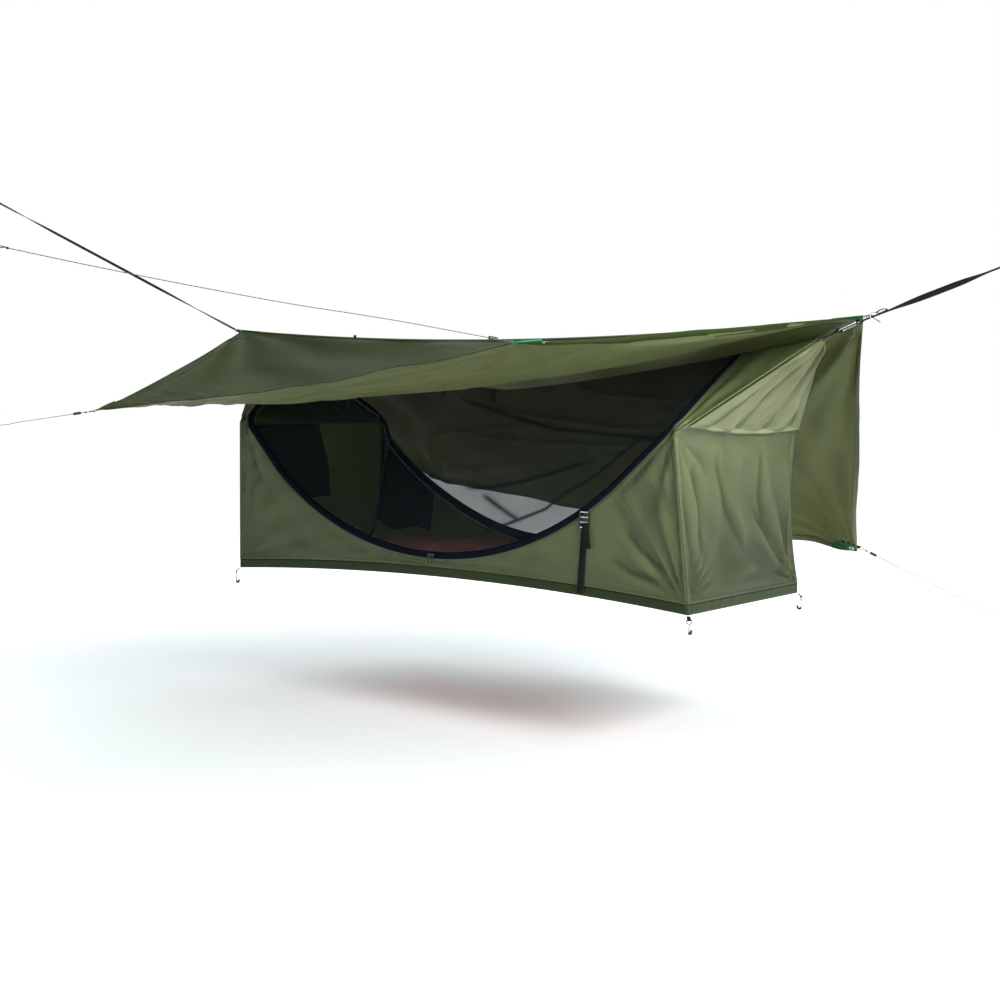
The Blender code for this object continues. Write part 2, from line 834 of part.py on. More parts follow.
def clip_points():
    """The bent wire of an oval clip, open along one long side for the gate."""
    half = clip_width / 2
    quarter = math.pi / 2
    gate = clip_length * gate_share
    start = (clip_length - gate) / 2
    points = [(start, half)]
    points += arc((clip_corner, half - clip_corner), clip_corner, quarter, 2 * quarter, 4)
    points += arc((clip_corner, -half + clip_corner), clip_corner, 2 * quarter, 3 * quarter, 4)
    points += arc((clip_length - clip_corner, -half + clip_corner), clip_corner, -quarter, 0, 4)
    points += arc((clip_length - clip_corner, half - clip_corner), clip_corner, 0, quarter, 4)
    points += [(clip_length - start, half)]
    return [Vector((x, 0, z)) for x, z in points]


def build_suspension(webbing_finish, sleeve, metal):
    """At each end: the peak loop, the clip with its gate, and the strap to the tree."""
    ends = (
        ("left", -1, left_strap_slope, left_strap_distance),
        ("right", 1, right_strap_slope, right_strap_distance),
    )
    for name, end, slope, reach in ends:
        lead = Vector((end * math.cos(lead_slope), 0, math.sin(lead_slope)))
        along = Vector((end * math.cos(slope), 0, math.sin(slope)))
        across = Vector((0, 1, 0))
        tip = Vector((end * half_peaks, 0, peak_height))
        near = tip + lead * peak_loop_length
        far = near + lead * clip_length
        loop_eye = near - lead * eye_slack
        loop_length = (loop_eye - peak(end)).length + peak_loop_tuck
        plate("peak_loop_" + name, webbing(loop_length, eye_radius, strap_ply, eye_sides), strap_width,
              sleeve, "tent_body", frame_along(loop_eye, -lead, across))
        clip_frame = frame_along(near, lead, across)
        tube("clip_" + name, clip_points(), clip_wire, metal, "tent_body", clip_frame)
        gate_start = (clip_length * (1 - gate_share)) / 2 + gate_gap
        gate_wire = clip_wire * 0.8
        hinge = clip_frame @ Vector((gate_start, 0, clip_width / 2 - gate_wire))
        add_body("clip_gate_" + name, hinge, "tent_body")
        gate_end = clip_length - gate_start
        ends_of_gate = [Vector((gate_start, 0, clip_width / 2)), Vector((gate_end, 0, clip_width / 2))]
        tube("gate_" + name, ends_of_gate, gate_wire, metal, "clip_gate_" + name, clip_frame)
        strap_eye = far + along * eye_slack
        run = (reach - abs(strap_eye.x)) / math.cos(slope) - tree_loop_length - tree_loop_radius
        outline = webbing(run, eye_radius, strap_ply, eye_sides, (tree_loop_length, tree_loop_radius))
        plate("tree_strap_" + name, outline, strap_width, webbing_finish, "tarp_and_straps",
              frame_along(strap_eye, along, across))


# Shape of the tarp
def tarp_point(share, out, side):
    """A point of one half of the tarp: share along the ridge, out from the ridge to the edge."""
    bend = 4 * share * (1 - share)
    belly = 4 * out * (1 - out)
    ridge = Vector((ridge_span * (share - 0.5), side * tarp_seam, ridge_end_height - ridge_sag * bend))
    if side < 0:
        edge = front_left.lerp(front_right, share)
        edge += Vector((0, front_edge_hollow * bend, -front_edge_sag * bend))
        point = ridge.lerp(edge, out)
        point.x += front_side_hollow * belly * (1 - 2 * share)
        point.z -= front_trough * belly * (0.30 + 0.70 * math.sqrt(bend))
    else:
        edge = rear_left.lerp(rear_right, share)
        edge += Vector((0, -rear_edge_hollow * bend, -rear_edge_sag * bend))
        point = ridge.lerp(edge, out)
        point.x += rear_side_hollow * belly * (1 - 2 * share)
        point += Vector((0, rear_billow, rear_billow)) * belly * (0.5 + 0.5 * math.sqrt(bend))
    wave = math.sin(math.pi * (6.2 * share + 1.4 * out))
    wave += 0.5 * math.sin(math.pi * (11.0 * share - 2.0 * out))
    point.z += tarp_fold * wave * fade(share, 0.2) * fade(out, 0.3)
    return point


def tarp_corner(side, end):
    """A tarp corner, the way out of it in the cloth, and the cloth's upper normal there."""
    share = 0.0 if end < 0 else 1.0
    step = 0.02
    corner = tarp_point(share, 1.0, side)
    to_other = (tarp_point(share - end * step, 1.0, side) - corner).normalized()
    to_ridge = (tarp_point(share, 1.0 - step, side) - corner).normalized()
    normal = to_other.cross(to_ridge).normalized()
    if normal.z < 0:
        normal = -normal
    out = -(to_other + to_ridge).normalized()
    return corner, out, normal


def guy_path(start, end, across):
    """A guyline in the frame of its own run: a tied loop in the corner eye, the line, and its end loop."""
    along = (end - start).normalized()
    side = corner_webbing_width / 2 + guy_loop_side_clearance
    lean = across.normalized()
    loop_shares = (
        (0.98, -0.22), (0.70, -0.75), (0.36, -1.0), (0.06, -0.92), (0.0, -0.75),
        (0.0, 0.75), (0.06, 0.92), (0.36, 1.0), (0.70, 0.75), (1.0, 0.25), (1.25, 0.03),
    )
    points = [start + along * guy_loop_length * a + lean * side * b for a, b in loop_shares]
    length = (end - start).length
    first = guy_loop_length * 1.5
    last = length - end_loop_length
    straight = lock_place + lock_size.x * 8
    steps = 9
    for step in range(steps + 1):
        run = first + (last - first) * step / steps
        sag = 0.0
        if run > straight:
            part = (run - straight) / (last - straight)
            sag = guy_sag_share * length * 4 * part * (1 - part) * smooth(min(1.0, part * 3))
        points.append(start + along * run - Vector((0, 0, sag)))
    half = end_loop_width / 2
    end_shares = (
        (0.15, 0.35), (0.40, 0.85), (0.70, 1.0), (0.92, 0.65), (1.0, 0.0),
        (0.92, -0.65), (0.70, -1.0), (0.40, -0.85), (0.14, -0.42),
    )
    base = start + along * last
    points += [base + along * end_loop_length * a + lean * half * b for a, b in end_shares]
    return points


def build_tarp(cloth_front, cloth_rear, green, black, cord_finish, plastic, metal):
    for name, side, material in (("front", -1, cloth_front), ("rear", 1, cloth_rear)):
        sheet(
            "tarp_" + name, (20, 10),
            lambda share, out, side=side: tarp_point(share, out, side),
            tarp_cloth, material, "tarp_and_straps",
        )
    ends = (("left", -1, left_strap_slope), ("right", 1, right_strap_slope))
    for name, end, slope in ends:
        build_tarp_end(name, end, slope, green, metal)
    corners = (
        ("front_left", -1, -1, green, front_left_guy_end),
        ("front_right", -1, 1, green, front_right_guy_end),
        ("rear_right", 1, 1, black, rear_right_guy_end),
        ("rear_left", 1, -1, black, None),
    )
    for name, side, end, material, guy_end in corners:
        build_corner(name, side, end, material, guy_end, cord_finish, plastic)
    tie_top = tarp_point(tie_reach_share, tie_depth_share, -1)
    tie_top.z -= tarp_cloth / 2 + touch_gap * 2
    add_body("door_tie", tie_top - Vector((0, 0, tie_size.x / 2)), "tarp_and_straps")
    hanging_loop("tie_loop", tie_top, tie_size, tie_wall, black, "door_tie")


def build_tarp_end(name, end, slope, green, metal):
    """The ring round the tree strap and the ridge tab that is sewn round its upper bar."""
    along = Vector((end * math.cos(slope), 0, math.sin(slope)))
    up = Vector((-end * math.sin(slope), 0, math.cos(slope)))
    hang_point = Vector((end * hang_reach, 0, hang_height))
    ridge_end = tarp_point(0.0 if end < 0 else 1.0, 0.0, -1)
    run = (end * ridge_end.x - hang_reach + tarp_ring_distance) / math.cos(slope)
    on_strap = hang_point + along * run
    bar = tarp_ring_wire
    eye = bar + touch_gap
    high = strap_ply + tarp_ring_clearance + eye + strap_ply / 2
    low = strap_ply + touch_gap + bar
    half = strap_width / 2 + tarp_ring_clearance + bar
    bend = bar * 1.5
    path = [
        Vector((0, 0, half)),
        Vector((0, -low + bend, half)), Vector((0, -low, half - bend)),
        Vector((0, -low, -half + bend)), Vector((0, -low + bend, -half)),
        Vector((0, high - bend, -half)), Vector((0, high, -half + bend)),
        Vector((0, high, half - bend)), Vector((0, high - bend, half)),
        Vector((0, touch_gap + bar, half)),
    ]
    frame = frame_along(on_strap, along, Vector((0, -end, 0)))
    tube("tarp_ring_" + name, path, bar, metal, "tarp_and_straps", frame)
    eye_place = on_strap + up * high
    lap_share = tarp_tab_lap / ridge_span
    lap_end = tarp_point(lap_share if end < 0 else 1 - lap_share, 0.0, -1)
    lift = Vector((0, 0, tarp_cloth / 2 + touch_gap * 2 + strap_ply / 2))
    knee = Vector((ridge_end.x, 0, ridge_end.z)) + lift
    tail = Vector((lap_end.x, 0, lap_end.z)) + lift
    frame = frame_along(eye_place, knee - eye_place, Vector((0, 1, 0)))
    outer, inner = webbing((knee - eye_place).length, eye, strap_ply / 2, small_eye_sides)
    back = frame.inverted() @ tail
    last = [(back.x, back.y - strap_ply / 2), (back.x, back.y + strap_ply / 2)]
    plate("ridge_tab_" + name, [outer[:-1] + last + outer[-1:], inner], strap_width * 0.9, green,
          "tarp_and_straps", frame)


def build_corner(name, side, end, material, guy_end, cord_finish, plastic):
    corner, out, normal = tarp_corner(side, end)
    if guy_end is not None:
        pull = (guy_end - corner).normalized()
        pull -= normal * pull.dot(normal)
        out = (out * corner_lead_share + pull).normalized()
    lift = tarp_cloth / 2 + strap_ply / 2 + touch_gap * 1.5
    reach = corner_eye + strap_ply + touch_gap
    eye = corner + out * reach + normal * lift
    across = out.cross(normal)
    outline = webbing(corner_webbing_length, corner_eye, strap_ply / 2, small_eye_sides)
    plate("corner_loop_" + name, outline, corner_webbing_width, material, "tarp_and_straps",
          frame_along(eye, -out, across))
    if guy_end is None:
        return
    along = (guy_end - eye).normalized()
    start = eye + along * (corner_eye - guy_radius - touch_gap)
    tube("guyline_" + name, guy_path(start, guy_end, across), guy_radius, cord_finish, "tarp_and_straps")
    add_body("line_lock_" + name, start + along * lock_place, "tarp_and_straps")
    lock = block("lock_" + name, lock_size, lock_round, plastic, "line_lock_" + name,
                 frame_along(start + along * lock_place, along, across))
    bore = bmesh.new()
    bmesh.ops.create_cone(bore, cap_ends=True, segments=16, radius1=lock_bore, radius2=lock_bore,
                          depth=lock_size.x * 2, matrix=Matrix.Rotation(math.pi / 2, 4, "Y"))
    mesh = bpy.data.meshes.new("bore_" + name)
    bore.to_mesh(mesh)
    bore.free()
    cutter = bpy.data.objects.new("bore_" + name, mesh)
    cutters.objects.link(cutter)
    cutter.hide_render = True
    cutter.display_type = "WIRE"
    cutter.parent = lock
    cut = lock.modifiers.new("bore", "BOOLEAN")
    cut.operation = "DIFFERENCE"
    cut.object = cutter


def main():
    clear_scene()
    ripstop = finish("ripstop_olive", (0.080, 0.112, 0.058), 0.55)
    base_cloth = finish("floor_cloth_dark", (0.034, 0.051, 0.017), 0.60)
    tarp_top = finish("tarp_olive", (0.059, 0.078, 0.037), 0.50)
    tarp_lit = finish("tarp_olive_lit", (0.162, 0.205, 0.098), 0.50)
    net = finish("black_net", (0.012, 0.013, 0.020), 0.80)
    tape = finish("navy_tape", (0.007, 0.009, 0.021), 0.60)
    pad = finish("rust_pad", (0.200, 0.045, 0.022), 0.75)
    black = finish("black_webbing", (0.012, 0.012, 0.013), 0.65)
    green = finish("green_webbing", (0.013, 0.190, 0.086), 0.60)
    grey_cord = finish("grey_cord", (0.090, 0.095, 0.098), 0.60)
    plastic = finish("black_plastic", (0.015, 0.015, 0.017), 0.35)
    steel = finish("steel", (0.560, 0.570, 0.580), 0.25, 1.0)
    alloy = finish("alloy", (0.420, 0.430, 0.440), 0.35, 1.0)
    add_body("tarp_and_straps", (0, 0, hang_height))
    add_body("tent_body", (0, 0, hang_height), "tarp_and_straps")
    build_body_cloth(ripstop, base_cloth, net, tape)
    build_frame(alloy, grey_cord, black)
    build_pad(pad)
    build_pockets(net)
    build_zip_pulls(steel, black)
    build_front_strap(black, plastic)
    build_corner_hooks(black, plastic)
    build_suspension(black, tape, steel)
    build_tarp(tarp_top, tarp_lit, green, black, grey_cord, plastic, steel)


main()
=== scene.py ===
"""Looks of the hammock tent: its cloth, nets, tapes, webbing, cords and metal.

Metres, +Z up, +X along the tent towards its right end, +Y towards its rear. Sizes and shape
functions count heights from the tent's floor, as a tent maker does, and every mesh is
lowered by hang_height when it is made, which puts it in the frame.
"""

import functools
import math

import bmesh
import bpy
from mathutils import Matrix, Vector, noise


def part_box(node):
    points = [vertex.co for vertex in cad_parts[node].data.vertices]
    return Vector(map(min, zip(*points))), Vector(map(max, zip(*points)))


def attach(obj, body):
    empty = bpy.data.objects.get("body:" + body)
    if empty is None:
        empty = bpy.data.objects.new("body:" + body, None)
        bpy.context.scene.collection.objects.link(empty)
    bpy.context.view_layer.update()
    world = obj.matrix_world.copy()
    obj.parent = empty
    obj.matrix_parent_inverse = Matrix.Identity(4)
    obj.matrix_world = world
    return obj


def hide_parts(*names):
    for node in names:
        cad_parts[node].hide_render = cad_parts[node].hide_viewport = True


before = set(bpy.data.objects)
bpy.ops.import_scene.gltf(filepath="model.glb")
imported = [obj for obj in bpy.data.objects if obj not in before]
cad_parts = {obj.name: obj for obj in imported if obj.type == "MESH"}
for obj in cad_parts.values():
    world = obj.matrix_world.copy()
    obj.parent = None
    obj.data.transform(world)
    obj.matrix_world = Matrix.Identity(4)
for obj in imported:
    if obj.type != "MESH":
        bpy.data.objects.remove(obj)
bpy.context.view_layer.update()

# Body of the tent
floor_length = 2.00
floor_width = 0.76
floor_bow = 0.038
floor_waist = 0.030
tub_height = 0.035
spreader_height = 0.565
spreader_span = 0.84
spreader_inset_depth = 0.040
rear_seam_hollow = 0.024
peak_span = 2.51
peak_height = 0.875
ridge_mid_height = 0.700
ridge_curve_share = 1.26
peak_trim = 0.014

# Round doors
door_radius = 1.16
door_low_height = 0.117
door_middle_offset = -0.050
door_depth = 0.365
door_corner_height = 0.592
door_corner_distance = 0.945
door_corner_depth = 0.408
front_door_angle = math.radians(40)
rear_door_angle = math.radians(45)
front_roof_distance = 0.955
rear_roof_distance = 1.080
rear_corner_drop = 0.012
rear_zip_lift = 0.030
corner_round_share = 0.22

# Cloth, net and tape
wall_cloth = 0.0010
tub_cloth = 0.0012
net_cloth = 0.0008
net_sag = 0.012
tape_width = 0.028
seam_gap = 0.0006
corner_clearance = 0.0036
roof_end_clearance = 0.0041
net_edge_gap = 0.0016
touch_gap = 0.0004
wall_fold = 0.0045
fold_height = 0.0060
ridge_cord_radius = 0.0022
bar_radius = 0.0045
hem_width = 0.020
hem_thickness = 0.0026
stitch_pitch = 0.0042
stitch_inset = 0.0035
ripstop_pitch = 0.0056

# Webbing, loops and clips
strap_width = 0.020
strap_ply = 0.0012
clip_wire = 0.0025
clip_length = 0.062
clip_width = 0.036
clip_corner = 0.008
eye_radius = 0.0062
eye_slack = 0.0029
peak_loop_length = 0.060
lead_slope = math.radians(22)
left_strap_slope = math.radians(21.2)
right_strap_slope = math.radians(19.0)
left_strap_distance = 3.16
right_strap_distance = 1.92
tree_loop_length = 0.070
strap_turn = math.radians(-48)
tree_loop_radius = 0.0098
gate_share = 0.55

# Tarp
ridge_overhang = 0.130
ridge_end_height = 0.940
ridge_sag = 0.055
tarp_cloth = 0.0010
tarp_seam = 0.0012
front_left = Vector((-0.935, -1.120, 0.610))
front_right = Vector((0.959, -1.250, 0.819))
rear_right = Vector((0.911, 1.080, 0.107))
rear_left = Vector((-1.171, 1.040, 0.288))
front_trough = 0.105
rear_billow = 0.026
front_side_hollow = 0.050
front_left_hollow = 0.012
rear_side_hollow = 0.012
rear_left_fullness = 0.085
front_edge_sag = 0.012
rear_edge_sag = 0.020
front_edge_hollow = 0.050
rear_edge_hollow = 0.030
tarp_ring_distance = 0.030
tarp_ring_wire = 0.0015
tarp_ring_clearance = 0.0012
tarp_tab_lap = 0.100

# Corner loops and guylines
corner_webbing_width = 0.012
corner_webbing_length = 0.045
corner_eye = 0.0032
corner_lead_share = 0.6
guy_radius = 0.0011
guy_loop_length = 0.020
guy_loop_side_clearance = 0.0035
lock_length = 0.026
lock_place = 0.060
front_left_guy_end = Vector((-1.262, -1.350, 0.548))
front_right_guy_end = Vector((0.361, -2.470, 1.008))
rear_right_guy_end = Vector((1.421, 1.450, -0.192))
guy_sag_share = 0.006
end_loop_length = 0.060
end_loop_width = 0.024

# Small fittings on the body
tab_width = 0.012
tab_length = 0.016
tab_eye = 0.0022
hook_wire = 0.0014
hook_ring = 0.012
hook_shank = 0.020
hook_bend = 0.007
hook_turn = math.radians(45)
tab_drop = math.radians(38)
front_strap_distance = 0.600
front_strap_width = 0.026

# Trims, stitches and fittings that only this file shapes
seam_lift = 0.0011
seam_ply = 0.0012
band_lift = 0.0012
end_seam_width = 0.024
end_seam_ply = 0.0014
gable_hem_width = 0.014
gable_hem_ply = 0.0024
coil_radius = 0.0017
piping_radius = 0.0009
corner_piping_radius = 0.0014
inner_piping_radius = 0.0026
pad_thickness = 0.092
pad_channels = 5
pad_corner_cut = 0.105
pad_corner_start = 0.88
pad_tuft_pitch = 0.30
pad_tuft_depth = 0.0022
pad_piping_radius = 0.0026
patch_radius = 0.056
patch_inset = 0.046
patch_ply = 0.0056
grommet_inset = 0.020
grommet_radius = 0.0115
grommet_height = 0.0115
grommet_bore = 0.0045
ridge_patch_reach = 0.150
corner_strip_length = 0.110
corner_strip_width = 0.017
small_tab_distance = 0.751
strap_step = 0.012
strap_sewn_length = 0.03
net_pitch = 0.0024
strand_pitch = 0.0026
strand_turn = 0.0023
web_pitch = 0.0032
twill_pitch = 0.0022
twist_pitch = 0.0012
fine_reach = 2
broad_reach = 6

# Camera and studio
camera_turn = 0.64475
camera_tilt = -0.06673
camera_roll = 0.0116
camera_spot = Vector((3.41928, -4.58029, 0.67778))
camera_lens = 55.95
camera_sensor = 36.0
sky_top_level = 0.60
sky_near_level = 0.62
studio_floor_drop = 0.50
studio_floor_reach = 60.0
studio_paper = (0.80, 0.865, 0.895)
light_aim = Vector((0, 0, -0.4))
# The floor glows; near the tent its glow is dimmed, a painted shadow under it.
floor_glow_painted_shadow = 0.08
floor_glow_far = 0.52

# Worked out from the sizes above
half_floor = floor_length / 2
half_width = floor_width / 2
half_bar = spreader_span / 2
half_peaks = peak_span / 2
ridge_span = peak_span + 2 * ridge_overhang
door_centre_height = door_low_height + door_radius
clip_reach = peak_loop_length + clip_length
hang_height = peak_height + clip_reach * math.sin(lead_slope)
hang_reach = half_peaks + clip_reach * math.cos(lead_slope)
half_ridge = ridge_span / 2
TURN = 2 * math.pi
UP = Vector((0, 0, 1))
ACROSS = Vector((0, 1, 0))
ALONG = Vector((1, 0, 0))
BODY_MIDDLE = Vector((0, 0, 0.42))
TARP_MIDDLE = Vector((0, 0, 0.20))
ENDS = (("left", -1), ("right", 1))
BODY = "tent_body"
TARP = "tarp_and_straps"


# Shape of the body
def smooth(share):
    share = max(0.0, min(1.0, share))
    return share * share * (3 - 2 * share)


def fade(share, edge):
    """Rises from 0 at both ends of 0 to 1 within an edge share."""
    return smooth(min(share, 1 - share) / edge)


def side_point(share, side):
    """A point up the corner from the floor to the spreader, on the right-hand end."""
    rim_share = tub_height / spreader_height
    above = max(0.0, (share - rim_share) / (1 - rim_share))
    hollow = rear_seam_hollow * 4 * above * (1 - above) if side > 0 else 0.0
    return Vector((
        half_floor - spreader_inset_depth * share - hollow,
        side * (half_width + (half_bar - half_width) * share),
        spreader_height * share,
    ))


def floor_edge(share, side, height=0.0):
    """The floor's long edge at a share of the half length, or that much of its rim above it."""
    bend = 1 - share * share
    lean = height / spreader_height
    return Vector((
        share * (half_floor - spreader_inset_depth * lean),
        side * (half_width - floor_waist * bend + (half_bar - half_width) * lean),
        floor_bow * bend + height,
    ))


def ridge_height(reach):
    share = min(1.0, abs(reach) / half_peaks)
    return ridge_mid_height + (peak_height - ridge_mid_height) * share ** ridge_curve_share


def peak(end):
    """Where the end wall, the roof and the ridge meet, cut back for the loop."""
    reach = half_peaks - peak_trim
    return Vector((end * reach, 0, ridge_height(reach)))


def door_raw(station, side):
    """The zip line of a door: roof, side run, arc, side run, roof, over stations 0 to 6."""
    angle = front_door_angle if side < 0 else rear_door_angle
    roof_reach = front_roof_distance if side < 0 else rear_roof_distance
    drop = 0.0 if side < 0 else rear_corner_drop
    end = -1 if station < 3 else 1
    step = abs(station - 3)
    roof_depth = ridge_cord_radius + roof_end_clearance
    roof = Vector((end * roof_reach, side * roof_depth, ridge_height(roof_reach)))
    corner = Vector((end * door_corner_distance, side * door_corner_depth, door_corner_height - drop))
    if step <= 1:
        turn = angle * (station - 3)
        return Vector((
            door_middle_offset + door_radius * math.sin(turn),
            side * door_depth,
            door_centre_height - door_radius * math.cos(turn),
        ))
    arc_end = door_raw(3 + end, side)
    if step <= 2:
        return arc_end.lerp(corner, step - 1)
    return corner.lerp(roof, step - 2)


@functools.lru_cache(maxsize=None)
def door(station, side):
    """The zip line with its upper corners rounded."""
    near = min(abs(station - 1), abs(station - 5))
    spread = corner_round_share * max(0.0, 1 - near)
    total = Vector((0, 0, 0))
    for step in (-1.0, -0.5, 0.0, 0.5, 1.0):
        total += door_raw(min(6.0, max(0.0, station + spread * step)), side)
    if side > 0:
        total.z += 5 * rear_zip_lift * smooth((station - 1.4) / 0.7) * smooth((3.0 - station) / 0.7)
    return (total / 5).freeze()


@functools.lru_cache(maxsize=None)
def wall_foot(station, side):
    """The outer edge of a long wall: peak, spreader, floor corner, floor, over the same stations."""
    end = -1 if station < 3 else 1
    step = abs(station - 3)
    base = tub_height + seam_gap
    if step <= 1:
        foot = floor_edge(station - 3, side, base)
        foot.x *= 1 - corner_clearance / half_floor
        return foot.freeze()
    tip = peak(1) + Vector((0, side * (ridge_cord_radius + wall_cloth + touch_gap), 0))
    if step <= 2:
        point = side_point((base + (spreader_height - base) * (step - 1)) / spreader_height, side)
    else:
        point = side_point(1.0, side).lerp(tip, step - 2)
    return Vector((end * (point.x - corner_clearance), point.y, point.z)).freeze()


def roof_line(station, side):
    """The net's top edge beside the ridge cord."""
    reach = front_roof_distance if side < 0 else rear_roof_distance
    inside = reach - tape_width / 2 - net_edge_gap
    x = inside * (station - 3) / 2
    return Vector((x, side * (ridge_cord_radius + net_cloth + touch_gap), ridge_height(x)))


def beside_zip(station, side, towards, offset):
    """A point beside the zip line, at an offset towards the wall or the net."""
    step = 0.02
    here = door(station, side)
    ahead = door(min(6.0, station + step), side) - door(max(0.0, station - step), side)
    ahead.normalize()
    away = towards - here
    away -= ahead * away.dot(ahead)
    return here + away.normalized() * offset


@functools.lru_cache(maxsize=None)
def net_side(station, side, offset):
    x = door(station, side).x * 0.6
    return beside_zip(station, side, Vector((x, 0, ridge_height(x))), offset).freeze()


@functools.lru_cache(maxsize=None)
def wall_side(station, side, offset):
    return beside_zip(station, side, wall_foot(station, side), offset).freeze()


def strap_calm(reach):
    """The front strap holds the wall flat beside it."""
    return 1.0 - math.exp(-((reach - front_strap_distance) / (front_strap_width * 4)) ** 2)


def wall_folds(station, up, reach):
    """Long soft creases towards the zip, which die out at the seams and at the front strap."""
    wave = math.sin(math.pi * (4.6 * station + 2.4 * up))
    wave += 0.5 * math.sin(math.pi * (9.1 * station - 3.2 * up))
    return wall_fold * wave * fade(up, 0.4) * fade(station / 6, 0.10) * strap_calm(reach) * 0.6


def wall_point(share, up, side):
    station = 6 * share
    foot = wall_foot(station, side)
    point = foot.lerp(wall_side(station, side, tape_width / 2 + seam_gap), up)
    point.y += side * wall_folds(station, up, point.x)
    return point


def net_point(share, up, side):
    station = 1 + 4 * share
    foot = net_side(station, side, tape_width / 2 + net_edge_gap)
    point = foot.lerp(roof_line(station, side), up)
    point.z -= net_sag * fade(share, 0.5) * 4 * up * (1 - up)
    return point


def tape_point(share, up, side):
    """Across the zip tape, from its wall edge over the zip line to its net edge."""
    station = 6 * share
    half = tape_width / 2
    middle = door(station, side)
    if up < 0.5:
        return wall_side(station, side, half).lerp(middle, 2 * up)
    return middle.lerp(net_side(station, side, half), 2 * up - 1)


def end_point(share, up, end):
    """The end wall: share from front to rear, up from the rim to the peak."""
    base = tub_height + seam_gap
    fold_at = 8 / 14
    corners = []
    for side in (-1, 1):
        if up <= fold_at:
            height = base + (spreader_height - base) * up / fold_at
            corner = side_point(height / spreader_height, side)
        else:
            part = (up - fold_at) / (1 - fold_at)
            tip = peak(1) + Vector((0, side * strap_width / 2, 0))
            corner = side_point(1.0, side).lerp(tip, part)
        corner.y -= side * (seam_gap + wall_cloth)
        corners.append(corner)
    point = corners[0].lerp(corners[1], share)
    point.x *= end
    return point


# Shape of the tarp
def tarp_point(share, out, side):
    """A point of one half of the tarp: share along the ridge, out from the ridge to the edge."""
    bend = 4 * share * (1 - share)
    belly = 4 * out * (1 - out)
    ridge = Vector((ridge_span * (share - 0.5), side * tarp_seam, ridge_end_height - ridge_sag * bend))
    if side < 0:
        edge = front_left.lerp(front_right, share)
        edge += Vector((0, front_edge_hollow * bend, -front_edge_sag * bend))
        point = ridge.lerp(edge, out)
        point.x += (front_left_hollow if share < 0.5 else front_side_hollow) * belly * (1 - 2 * share)
        point.z -= front_trough * belly * (0.08 + 0.92 * math.sqrt(bend))
        return point
    edge = rear_left.lerp(rear_right, share)
    edge += Vector((0, -rear_edge_hollow * bend, -rear_edge_sag * bend))
    point = ridge.lerp(edge, out)
    fullness = rear_side_hollow * belly if share > 0.5 else -rear_left_fullness * math.sqrt(belly)
    point.x += fullness * (1 - 2 * share)
    return point + Vector((0, rear_billow, rear_billow)) * belly * (0.5 + 0.5 * math.sqrt(bend))


def tarp_corner(side, end):
    """A tarp corner, the way out of it in the cloth, and the cloth's upper normal there."""
    share = 0.0 if end < 0 else 1.0
    step = 0.02
    corner = tarp_point(share, 1.0, side)
    to_other = (tarp_point(share - end * step, 1.0, side) - corner).normalized()
    to_ridge = (tarp_point(share, 1.0 - step, side) - corner).normalized()
    normal = to_other.cross(to_ridge).normalized()
    if normal.z < 0:
        normal = -normal
    return corner, -(to_other + to_ridge).normalized(), normal


def guy_path(start, end, across):
    """A guyline: a tied loop in the corner eye, the line, and its end loop."""
    along = (end - start).normalized()
    side = corner_webbing_width / 2 + guy_loop_side_clearance
    lean = across.normalized()
    loop_shares = (
        (0.98, -0.22), (0.70, -0.75), (0.36, -1.0), (0.06, -0.92), (0.0, -0.75),
        (0.0, 0.75), (0.06, 0.92), (0.36, 1.0), (0.70, 0.75), (1.0, 0.25), (1.25, 0.03),
    )
    points = [start + along * guy_loop_length * a + lean * side * b for a, b in loop_shares]
    length = (end - start).length
    first = guy_loop_length * 1.5
    last = length - end_loop_length
    straight = lock_place + lock_length * 8
    steps = 9
    for step in range(steps + 1):
        run = first + (last - first) * step / steps
        sag = 0.0
        if run > straight:
            part = (run - straight) / (last - straight)
            sag = guy_sag_share * length * 4 * part * (1 - part) * smooth(min(1.0, part * 3))
        points.append(start + along * run - Vector((0, 0, sag)))
    half = end_loop_width / 2
    end_shares = (
        (0.15, 0.35), (0.40, 0.85), (0.70, 1.0), (0.92, 0.65), (1.0, 0.0),
        (0.92, -0.65), (0.70, -1.0), (0.40, -0.85), (0.14, -0.42),
    )
    base = start + along * last
    points += [base + along * end_loop_length * a + lean * half * b for a, b in end_shares]
    return points


def path_length(points):
    return sum((b - a).length for a, b in zip(points, points[1:]))


